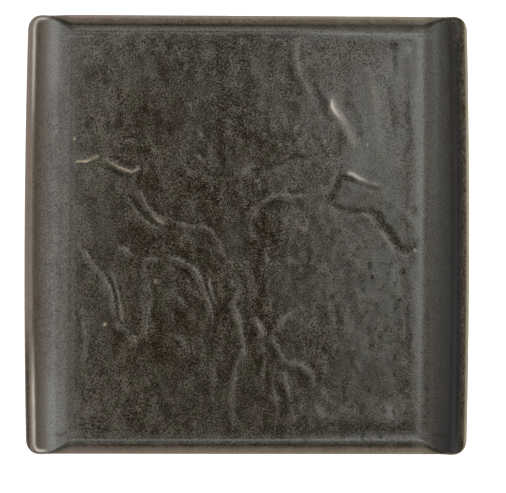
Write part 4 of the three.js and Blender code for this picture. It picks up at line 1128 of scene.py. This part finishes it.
CLOUD_FROM, CLOUD_OVER = -2 * MM, 95 * MM  # where the right part's grey cloud and its painted sheen begin, and their growth
CLOUD_LEAN = 0.15  # it begins farther left towards the far end
CLOUD_SHARE = 0.8
CLOUD_PATCHES = (  # plan point, width, length and share of thicker and thinner cloud, in millimetres
    (48, 5, 22, 26, 0.12), (18, -43, 14, 20, 0.14), (55, -92, 18, 16, 0.25), (66, -25, 34, 60, 0.17),
    (62, 105, 26, 15, -0.4), (93, -84, 8, 24, -0.5), (90, 36, 8, 16, -0.34), (89, 98, 8, 16, 0.22),
    (19, 62, 15, 40, -0.1), (-92, 20, 10, 45, 0.1), (-60, -98, 42, 16, 0.06), (0, -95, 16, 18, 0.18),
    (0, -25, 14, 26, 0.08), (56, 90, 8, 10, 0.16), (73, 62, 7, 12, 0.2), (93, 5, 6, 9, 0.2),
    (30, 8, 6, 9, -0.2), (14, 31, 10, 8, 0.32), (60, -35, 7, 14, 0.2), (36, -95, 6, 15, 0.22),
    (22, -109, 10, 5, -0.25), (-83, -1, 8, 24, 0.48), (-78, 101, 10, 14, 0.34),
)
CLOUD_DRIFT = (16 * MM, 2.0, 9.4)
DRIFT_SHARE = 0.3
CLOUD_DRIFT_SHARE = 1.2
CLOUD_MOTTLE = (4.5 * MM, 1.3, 8.3)
MOTTLE_FAR, MOTTLE_NEAR_MORE = 0.22, 0.16
MOTTLE_FROM = 60 * MM


def floor_cloud_sheen(x, y, drift):
    """The grey cloud of the floor's right part, both grey glaze and painted sheen."""
    cloud_sheen = CLOUD_SHARE * smooth((x + CLOUD_LEAN * y - CLOUD_FROM) / CLOUD_OVER)
    for *oval, share in CLOUD_PATCHES:
        cloud_sheen = cloud_sheen + share * blot(x, y, *oval)
    mottled = noise_field(x, y, *CLOUD_MOTTLE) * smooth((x - CLOUD_FROM) / CLOUD_OVER)
    mottled = mottled * (MOTTLE_FAR + MOTTLE_NEAR_MORE * smooth((MOTTLE_FROM - y) / MOTTLE_FROM))
    return np.clip(cloud_sheen + CLOUD_DRIFT_SHARE * drift + mottled, 0, 1)


HIGHLIGHT_AT, HIGHLIGHT_WIDTH = 99.5 * MM, 2.6 * MM  # line of painted highlight, a milky grey, at the right cove's foot
HIGHLIGHT_SHARE, HIGHLIGHT_LEVEL = 0.24, 0.75
HIGHLIGHT_GROWTH = 500 * MM  # over which it would gain a full share towards the far end
BROWN_AT, BROWN_WIDTH = 92 * MM, 3 * MM  # brown line beside it, where the grey cloud and its painted sheen are missing
BROWN_SHARE, BROWN_LEVEL = 0.6, 0.8
LINE_WAVE = 1.2 * MM  # by which both lines wave
LINE_WAVES = (10 * MM, 1.5, 6.1)
PALE_SPOTS = (  # plan point, radius and share of painted sheen, in millimetres
    (82, -102, 8.5, 1), (92, 107, 5, 1), (62, -97, 9, 0.3), (39, -102, 7, 0.55),
)
POOL_SHADE_FROM, POOL_SHADE_OVER = 2.5 * MM, 18 * MM  # painted shade up the right cove, drawn as blue-black pooled glaze
POOL_SHADE_SHARE, POOL_SHADE_FAR_LESS, POOL_SHADE_LENGTH = 0.71, 0.26, 100 * MM
POOL_SHADE_EDGE, POOL_SHADE_EDGE_OVER = 2 * MM, 3 * MM  # it ends short of the outline


def sheen_cloud_and_shade(section, x, y):
    """The painted sheen of the coves, the grey cloud and painted sheen of the floor's right part and the
    painted shade up the right cove.

    Sheen of more than 1 turns to the milky grey of the painted highlight at the right cove's foot.
    """
    climb = np.abs(x) - section.floor_x
    on_floor = climb < 0
    drift = DRIFT_SHARE * noise_field(x, y, *CLOUD_DRIFT)
    waved = x + LINE_WAVE * noise_field(x, y, *LINE_WAVES)
    brown = BROWN_SHARE * bell(waved, BROWN_AT, BROWN_WIDTH) * np.clip(BROWN_LEVEL + drift, 0, 1)
    highlight_line = HIGHLIGHT_SHARE * bell(waved, HIGHLIGHT_AT, HIGHLIGHT_WIDTH) * (HIGHLIGHT_LEVEL + y / HIGHLIGHT_GROWTH + drift)
    cloud_sheen = floor_cloud_sheen(x, y, drift) * (1 - brown) * on_floor
    # The coves' painted sheen
    cove = np.where(x < 0, left_cove_sheen(climb, y), right_cove_sheen(climb, y))
    painted_sheen = np.maximum(cove, fillet_highlight(x, y) * on_floor) + highlight_line
    for centre_x, centre_y, radius, share in PALE_SPOTS:
        painted_sheen = np.maximum(painted_sheen, share * blot(x, y, centre_x, centre_y, radius, radius))
    up_right = smooth((climb - POOL_SHADE_FROM) / POOL_SHADE_OVER) * (x > 0)
    pool_shade = np.clip(POOL_SHADE_SHARE - POOL_SHADE_FAR_LESS * y / POOL_SHADE_LENGTH, 0, 1) * up_right
    pool_shade = pool_shade * smooth((section.half_x - x - POOL_SHADE_EDGE) / POOL_SHADE_EDGE_OVER)
    return painted_sheen * (1 - up_right), cloud_sheen, pool_shade


SHARP_ANGLE = math.radians(60)  # over which an edge of a coat is shaded sharp
SEAM_RADIUS = 1.8 * MM  # plan corner radius of the seam between face coat and edge coat
FLOOR_STEP = 0.85 * MM  # between the face's grid lines
COVE_STEP = 0.6 * MM
FILLET_STEP = 0.4 * MM
BACK_EVERY = 6  # under the floor, the face coat's hidden side keeps every sixth of the front's lines
BACK_EVERY_SIDE = 2  # up a cove it keeps every second line
BACK_EVERY_END = 1  # and up an end lip every line
BACK_DEPTH = 1 * MM  # by which it lies deeper under the relief
CALM_COVE = 6 * MM  # up the right cove, over which the grain gets fainter


def grid_lines(floor_half, half, floor_step, edge_step):
    """Lines across the face, from seam to seam, closer where the surface climbs."""
    floor = np.linspace(-floor_half, floor_half, round(2 * floor_half / floor_step) + 1)
    edge = np.linspace(floor_half, half, round((half - floor_half) / edge_step) + 1)[1:]
    return np.concatenate([-edge[::-1], floor, edge])


def kept_lines(lines, floor_half, edge_every):
    """Numbers of the grid lines that a coat's hidden side keeps: few under the floor, more beyond it."""
    every = np.where(np.abs(lines) < floor_half, BACK_EVERY, edge_every)
    number = np.arange(len(lines))
    return np.flatnonzero((number % every == 0) | (number == len(lines) - 1))


def round_grid(u, v, half_x, half_y, radius):
    """Plan points of a grid, with its corners drawn in to a radius."""
    a = np.clip((np.abs(u) - half_x) / radius + 1, 0, 1)
    b = np.clip((np.abs(v) - half_y) / radius + 1, 0, 1)
    in_corner = (a > 0) & (b > 0)
    x = np.where(in_corner, half_x + radius * (a * np.sqrt(1 - b * b / 2) - 1), np.abs(u))
    y = np.where(in_corner, half_y + radius * (b * np.sqrt(1 - a * a / 2) - 1), np.abs(v))
    return np.sign(u) * x, np.sign(v) * y


def coat_faces(rows, columns, kept_rows, kept_columns):
    """Faces of a coat whose front is a grid of points. Its hidden side keeps some of the grid's lines."""
    index = np.arange(rows * columns).reshape(rows, columns)
    hidden = np.arange(len(kept_rows) * len(kept_columns)).reshape(len(kept_rows), len(kept_columns))
    behind = rows * columns + hidden
    fronts = np.stack([index[:-1, :-1], index[1:, :-1], index[1:, 1:], index[:-1, 1:]], -1)
    backs = np.stack([behind[:-1, 1:], behind[1:, 1:], behind[1:, :-1], behind[:-1, :-1]], -1)
    walls = []
    for a, b, row, end in zip(kept_rows, kept_rows[1:], behind, behind[1:]):
        walls.append([row[0], end[0]] + index[a:b + 1, 0][::-1].tolist())
        walls.append([end[-1], row[-1]] + index[a:b + 1, -1].tolist())
    for a, b, near, far in zip(kept_columns, kept_columns[1:], behind.T, behind.T[1:]):
        walls.append([far[0], near[0]] + index[0, a:b + 1].tolist())
        walls.append([near[-1], far[-1]] + index[-1, a:b + 1][::-1].tolist())
    return fronts.reshape(-1, 4).tolist() + backs.reshape(-1, 4).tolist() + walls


class PLATTER_OT_face(bpy.types.Operator):
    """Makes the coat of glaze on the floor and the inner coves, with the floor's relief."""

    bl_idname = "platter.face"
    bl_label = "Cleft face"

    def execute(self, context):
        section = Section(context.scene.platter_form)
        form = section.form
        half_x = section.half_x - form.side_band
        half_y = section.half_y - form.end_band
        lines_x = grid_lines(section.floor_x, half_x, FLOOR_STEP, COVE_STEP)
        lines_y = grid_lines(section.floor_y, half_y, FLOOR_STEP, FILLET_STEP)
        u, v = np.meshgrid(lines_x, lines_y, indexing="ij")
        x, y = round_grid(u, v, half_x, half_y, SEAM_RADIUS)
        share = section.floor_share(x, y)
        relief, bare, dark, lift, crest = relief_height(x, y)
        z = section.upper(x, y) + section.crown(x, y) + share * form.relief * relief
        front = section.placed(x, y, z).reshape(-1, 3)
        kept_rows = kept_lines(lines_x, section.floor_x, BACK_EVERY_SIDE)
        kept_columns = kept_lines(lines_y, section.floor_y, BACK_EVERY_END)
        grid = np.ix_(kept_rows, kept_columns)
        hidden = section.upper(x[grid], y[grid]) - form.coat - BACK_DEPTH * share[grid]
        back = section.placed(x[grid], y[grid], hidden).reshape(-1, 3)

        # Painted sheen, painted highlights and painted shade go onto the coat's points
        painted_sheen, cloud_sheen, pool_shade = sheen_cloud_and_shade(section, x, y)
        dull = dull_patch(x, y) * share
        coat = {
            "thin": thin_glaze(section, x, y),
            "painted_sheen": painted_sheen,
            "cloud_sheen": cloud_sheen,
            # Pale clay on crests at the left; painted highlights on crests at the right and on the left rim
            "bare": np.maximum(bare, rim_highlight(section, x, y)),
            "pool_shade": pool_shade,
            # Painted shade of grooves, hollows and the lips' valleys, with the dull patches
            "shade_and_dull": np.maximum(np.maximum(dark, dull), section.valley_shade(x, y)),
            # Painted light and shade of the relief, with painted sheen on the floor's left part
            "lift": lift * share + left_floor_sheen(section, x, y),
            "crest": np.maximum(crest * share, smooth((x - section.floor_x) / CALM_COVE)),
        }
        unseen = np.zeros(len(back))
        piece = new_piece(
            "cleft_face", np.vstack([front, back]), coat_faces(*u.shape, kept_rows, kept_columns),
            reactive_glaze(context.scene.platter_glaze),
            {key: np.append(values.ravel(), unseen) for key, values in coat.items()}, SHARP_ANGLE)
        ride_frame(piece, "face_glaze", "face_glaze")
        return {"FINISHED"}


BAND_STEPS = (240, 60, 8)  # of the edge's loops, along an end, along a side and round a corner
ROUND_STEPS = 9  # loops over the edge's rounding
FLAT_STEPS = 12  # and over the flat of its band
INNER_EVERY = 3  # a coat's hidden side keeps every third loop
POOL_SHADE_THIN = 0.2  # the painted shade ends where the glaze runs thinner than this


def band_plan(section, inset_x, inset_y):
    """Plan points of one loop of the edge's band, by its insets from the outline along X and Y.

    Its corners follow the outline's over the rounding, and from there they tighten to the seam's.
    """
    form = section.form
    radius = form.corner_radius - inset_x
    if inset_x > section.edge_round:
        share = (inset_x - section.edge_round) / (form.side_band - section.edge_round)
        start = form.corner_radius - section.edge_round
        radius = start + share * (SEAM_RADIUS - start)
    return rounded_loop(section.half_x - inset_x, section.half_y - inset_y, radius, BAND_STEPS)


class PLATTER_OT_edge(bpy.types.Operator):
    """Makes the coat of glaze that wraps the rim and the end lips, brown where it has run thin."""

    bl_idname = "platter.edge"
    bl_label = "Brown edge"

    def execute(self, context):
        section = Section(context.scene.platter_form)
        form = section.form
        start = section.edge_round
        turns = np.linspace(0, math.pi / 2, ROUND_STEPS)
        insets = [(inset, inset) for inset in start * (1 - np.cos(turns))]
        for t in np.linspace(0, 1, FLAT_STEPS)[1:]:
            insets.append((start + t * (form.side_band - start), start + t * (form.end_band - start)))
        inner = [inset for inset in insets if inset[0] >= start][::INNER_EVERY]
        rings = [(inset, section.upper, 0) for inset in reversed(insets)]
        rings += [(inset, section.lower, 0) for inset in insets]
        rings += [(inset, section.lower, form.coat) for inset in reversed(inner)]
        rings += [(inset, section.upper, -form.coat) for inset in inner]
        plans = []
        loops = []
        for inset, height, sink in rings:
            plan = band_plan(section, *inset)
            plans.append(plan)
            loops.append(section.placed(*plan.T, height(*plan.T) + sink))

        x, y = np.vstack(plans).T
        thin = thin_glaze(section, x, y)
        # Painted sheen of the coves and painted shade up the right cove
        painted_sheen, _, pool_shade = sheen_cloud_and_shade(section, x, y)
        coat = {
            "thin": thin,
            "painted_sheen": painted_sheen,
            "bare": rim_highlight(section, x, y),
            "pool_shade": pool_shade * (thin < POOL_SHADE_THIN),
            "shade_and_dull": section.valley_shade(x, y),
        }
        piece = new_piece(
            "brown_edge", np.vstack(loops), loft(loops, closed=True),
            reactive_glaze(context.scene.platter_glaze), coat, SHARP_ANGLE)
        ride_frame(piece, "edge_glaze", "edge_glaze")
        return {"FINISHED"}


SEAT_GAP = 0.3 * MM  # between the recess coat and the foot ring
OUTSIDE_STEPS = 19  # loops from the seam to the foot ring
# Painted sheen on the outside and recess coats
OUTSIDE_SHEEN = 0.4
RECESS_LOOPS = 10


class FootRing:
    """Plan of the foot ring, from the frame's recess inside it."""

    def __init__(self, form):
        self.inner_x = (RECESS_HIGH.x - RECESS_LOW.x) / 2 + SEAT_GAP
        self.inner_y = (RECESS_HIGH.y - RECESS_LOW.y) / 2 + SEAT_GAP
        self.half_x = self.inner_x + form.foot_width
        self.half_y = self.inner_y + form.foot_width
        self.corner = form.foot_corner
        self.inner_corner = form.foot_corner - form.foot_width

    def loop(self, grow=0.0):
        """Plan points round the ring's outside, or round it set out by some growth."""
        return rounded_loop(self.half_x + grow, self.half_y + grow, self.corner + grow)

    def nest(self, count):
        """Loops over the recess, from the ring's inside in."""
        return nested_loops(self.inner_x, self.inner_y, self.inner_corner, count)


class PLATTER_OT_outside(bpy.types.Operator):
    """Makes the coat of glaze on the outer walls and the underside, down to the foot ring."""

    bl_idname = "platter.outside"
    bl_label = "Outside glaze"

    def execute(self, context):
        section = Section(context.scene.platter_form)
        form = section.form
        seam = rounded_loop(section.half_x - form.side_band, section.half_y - form.end_band, SEAM_RADIUS)
        ring = FootRing(form).loop()
        shares = np.linspace(0, 1, OUTSIDE_STEPS)
        loops = []
        for sink, order in ((0, shares), (form.coat, shares[::-INNER_EVERY])):
            for share in order:
                x, y = (seam + share * (ring - seam)).T
                loops.append(section.placed(x, y, section.lower(x, y) + sink))
        points = np.vstack(loops)
        piece = new_piece(
            "outside_coat", points, loft(loops, closed=True), reactive_glaze(context.scene.platter_glaze),
            {"painted_sheen": np.full(len(points), OUTSIDE_SHEEN)}, SHARP_ANGLE)
        ride_frame(piece, "outside_glaze", "outside_glaze")
        return {"FINISHED"}


class PLATTER_OT_recess(bpy.types.Operator):
    """Makes the coat of glaze inside the foot ring."""

    bl_idname = "platter.recess"
    bl_label = "Recess glaze"

    def execute(self, context):
        form = context.scene.platter_form
        plans = FootRing(form).nest(RECESS_LOOPS)
        loops = [level_loop(plan, form.foot_height) for plan in reversed(plans)]
        loops += [level_loop(plan, form.foot_height + form.coat) for plan in plans]
        points = np.vstack(loops)
        piece = new_piece(
            "recess_coat", points, loft(loops) + end_caps(loops),
            reactive_glaze(context.scene.platter_glaze),
            {"painted_sheen": np.full(len(points), OUTSIDE_SHEEN)}, SHARP_ANGLE)
        ride_frame(piece, "outside_glaze", "recess_glaze")
        return {"FINISHED"}


FOOT_ROUND = 0.9 * MM  # rounding of the foot ring's edges
FOOT_STEPS = 6
BED_LOOPS = 6  # over the recess, up to the coat's seam, and under the face
UNDER_LOOPS = 12
TOP_LOOPS = 16
CLAY_DEPTH = 1.2 * MM  # by which the clay lies under the face coat
CLAY_SHARP_ANGLE = math.radians(50)


class PLATTER_OT_clay(bpy.types.Operator):
    """Makes the clay body, which shows as the bare, rounded foot ring."""

    bl_idname = "platter.clay"
    bl_label = "Clay body"

    def execute(self, context):
        section = Section(context.scene.platter_form)
        form = section.form
        foot = FootRing(form)
        loops = [level_loop(plan, form.foot_height + form.coat) for plan in reversed(foot.nest(BED_LOOPS))]
        turns = np.linspace(0, math.pi / 2, FOOT_STEPS)
        profile = [(FOOT_ROUND * (1 - math.sin(t)), FOOT_ROUND * (1 - math.cos(t))) for t in turns]
        sides = [(FOOT_ROUND - form.foot_width - inward, height) for inward, height in reversed(profile)]
        sides += [(inward - FOOT_ROUND, height) for inward, height in profile]
        loops += [level_loop(foot.loop(grow), height) for grow, height in sides]
        ring = foot.loop()
        outline = rounded_loop(
            section.half_x - form.side_band, section.half_y - form.side_band, SEAM_RADIUS)
        for share in np.linspace(0, 1, UNDER_LOOPS):
            x, y = (ring + share * (outline - ring)).T
            loops.append(section.placed(x, y, section.lower(x, y) + form.coat))
        for share in np.linspace(0, INNERMOST, TOP_LOOPS):
            x, y = (outline * (1 - share)).T
            loops.append(section.placed(x, y, section.upper(x, y) - form.coat - CLAY_DEPTH))
        piece = new_piece(
            "clay_body", np.vstack(loops), loft(loops) + end_caps(loops),
            fired_clay(context.scene.platter_glaze), sharp_angle=CLAY_SHARP_ANGLE)
        ride_frame(piece, "stoneware", "stoneware_body")
        return {"FINISHED"}


BOX_DISTANCE = 2.0  # of each soft box from the platter
FLOOR_REACH = 12.0
FLOOR_GLOW = 0.75  # what the floor adds to its own colour where it is seen
ROOM_BRIGHT_TO, ROOM_DIM_FROM = 0.1, 0.45  # heights of a direction, from level 0 to upright 1
ROOM_BRIGHT, ROOM_DIM = 1.0, 0.12
SENSOR_WIDTH = 36
WHITE = (1, 1, 1, 1)


def soft_box(name, azimuth, lean, size, power):
    """A rectangular soft box that faces the platter from an azimuth, leaning from straight above.

    Both are in degrees. size is its width round the platter and its height from low to overhead, in metres.
    """
    lamp = bpy.data.lights.new(name, "AREA")
    lamp.shape = "RECTANGLE"
    lamp.size, lamp.size_y = size
    lamp.energy = power
    around = math.radians(azimuth)
    down = math.radians(lean)
    box = bpy.data.objects.new(name, lamp)
    box.location = BOX_DISTANCE * Vector((
        math.sin(down) * math.cos(around), math.sin(down) * math.sin(around), math.cos(down)))
    box.rotation_euler = (-box.location).to_track_quat("-Z", "Y").to_euler()
    box.visible_camera = False
    bpy.context.scene.collection.objects.link(box)
    return box


def white_board(stage):
    """White painted board, matt. It glows a little where it is seen, directly or in a reflection."""
    material, tree, shader = new_material("White painted board")
    shader.inputs["Base Color"].default_value = stage.floor
    shader.inputs["Roughness"].default_value = 0.9
    path = add_node(tree, "ShaderNodeLightPath").outputs
    seen = path["Is Camera Ray"]
    for ray in ("Is Glossy Ray", "Is Transmission Ray"):
        seen = add_node(tree, "ShaderNodeMath", {0: seen, 1: path[ray]}, operation="MAXIMUM").outputs[0]
    glow = add_node(tree, "ShaderNodeMath", {0: seen, 1: FLOOR_GLOW}, operation="MULTIPLY").outputs[0]
    shader.inputs["Emission Color"].default_value = WHITE
    tree.links.new(glow, shader.inputs["Emission Strength"])
    return material


def studio_room():
    """A white room, bright low down and dim overhead."""
    world = bpy.data.worlds.new("Studio room")
    world.use_nodes = True
    tree = world.node_tree
    way = add_node(tree, "ShaderNodeTexCoord").outputs["Generated"]
    height = add_node(tree, "ShaderNodeSeparateXYZ", {"Vector": way}).outputs["Z"]
    level = add_node(tree, "ShaderNodeMapRange", {
        "Value": height, "From Min": ROOM_BRIGHT_TO, "From Max": ROOM_DIM_FROM,
        "To Min": ROOM_BRIGHT, "To Max": ROOM_DIM}, interpolation_type="SMOOTHSTEP").outputs["Result"]
    tree.links.new(level, tree.nodes["Background"].inputs["Strength"])
    tree.nodes["Background"].inputs["Color"].default_value = WHITE
    return world


def overhead_camera(stage):
    """The camera, which looks down on the platter with a slight lean."""
    lens = bpy.data.cameras.new("camera")
    lens.lens = stage.camera_lens
    lens.sensor_width = SENSOR_WIDTH
    lens.sensor_fit = "HORIZONTAL"
    camera = bpy.data.objects.new("camera", lens)
    target = Vector((*stage.aim, 0))
    lean = Vector((math.sin(stage.tilt[0]), math.sin(stage.tilt[1]), 1)) * stage.camera_height
    away = lean.normalized()
    up = Vector((math.sin(stage.roll), math.cos(stage.roll), 0))
    right = up.cross(away).normalized()
    turn = Matrix((right, away.cross(right), away)).transposed().to_4x4()
    camera.matrix_world = Matrix.Translation(target + lean) @ turn
    return camera


class PLATTER_OT_stage(bpy.types.Operator):
    """Makes the pale floor, the soft boxes, the room and the camera."""

    bl_idname = "platter.stage"
    bl_label = "Stage"

    def execute(self, context):
        scene = context.scene
        stage = scene.platter_stage
        corners = [(x * FLOOR_REACH, y * FLOOR_REACH, 0) for x, y in ((-1, -1), (1, -1), (1, 1), (-1, 1))]
        floor = new_piece("floor", corners, [(0, 1, 2, 3)], white_board(stage))
        soft_box("key_light", 10, 54, (2.2, 1.5), stage.key_power)
        soft_box("top_light", 25, 20, (1.6, 1.1), stage.top_power)
        soft_box("fill_light", 165, 38, (1.8, 2.1), stage.fill_power)
        soft_box("back_light", 85, 34, (1.8, 1.5), stage.back_power)
        soft_box("front_light", -90, 34, (1.8, 1.5), stage.front_power)
        scene.world = studio_room()
        scene.camera = overhead_camera(stage)
        scene.collection.objects.link(scene.camera)
        scene.view_settings.view_transform = "Standard"
        return {"FINISHED"}


class PLATTER_PT_sidebar(bpy.types.Panel):
    """Lists the platter's settings and its steps."""

    bl_idname = "PLATTER_PT_sidebar"
    bl_label = "Stoneware platter"
    bl_space_type = "VIEW_3D"
    bl_region_type = "UI"
    bl_category = "Platter"

    def draw(self, context):
        for group in (context.scene.platter_form, context.scene.platter_glaze, context.scene.platter_stage):
            box = self.layout.box()
            for key in group.__annotations__:
                box.prop(group, key)
        for operator in OPERATORS:
            self.layout.operator(operator.bl_idname)


GROUPS = {"platter_form": PlatterForm, "platter_glaze": PlatterGlaze, "platter_stage": PlatterStage}
OPERATORS = (PLATTER_OT_face, PLATTER_OT_edge, PLATTER_OT_outside, PLATTER_OT_recess, PLATTER_OT_clay,
             PLATTER_OT_stage)


def register():
    for key, group in GROUPS.items():
        bpy.utils.register_class(group)
        setattr(bpy.types.Scene, key, bpy.props.PointerProperty(type=group))
    for item in OPERATORS + (PLATTER_PT_sidebar,):
        bpy.utils.register_class(item)


def unregister():
    for item in (PLATTER_PT_sidebar,) + OPERATORS[::-1]:
        bpy.utils.unregister_class(item)
    for key, group in reversed(GROUPS.items()):
        delattr(bpy.types.Scene, key)
        bpy.utils.unregister_class(group)


def main():
    register()
    bpy.ops.platter.stage()
    bpy.ops.platter.face()
    bpy.ops.platter.edge()
    bpy.ops.platter.outside()
    bpy.ops.platter.recess()
    bpy.ops.platter.clay()


if __name__ == "__main__":
    main()
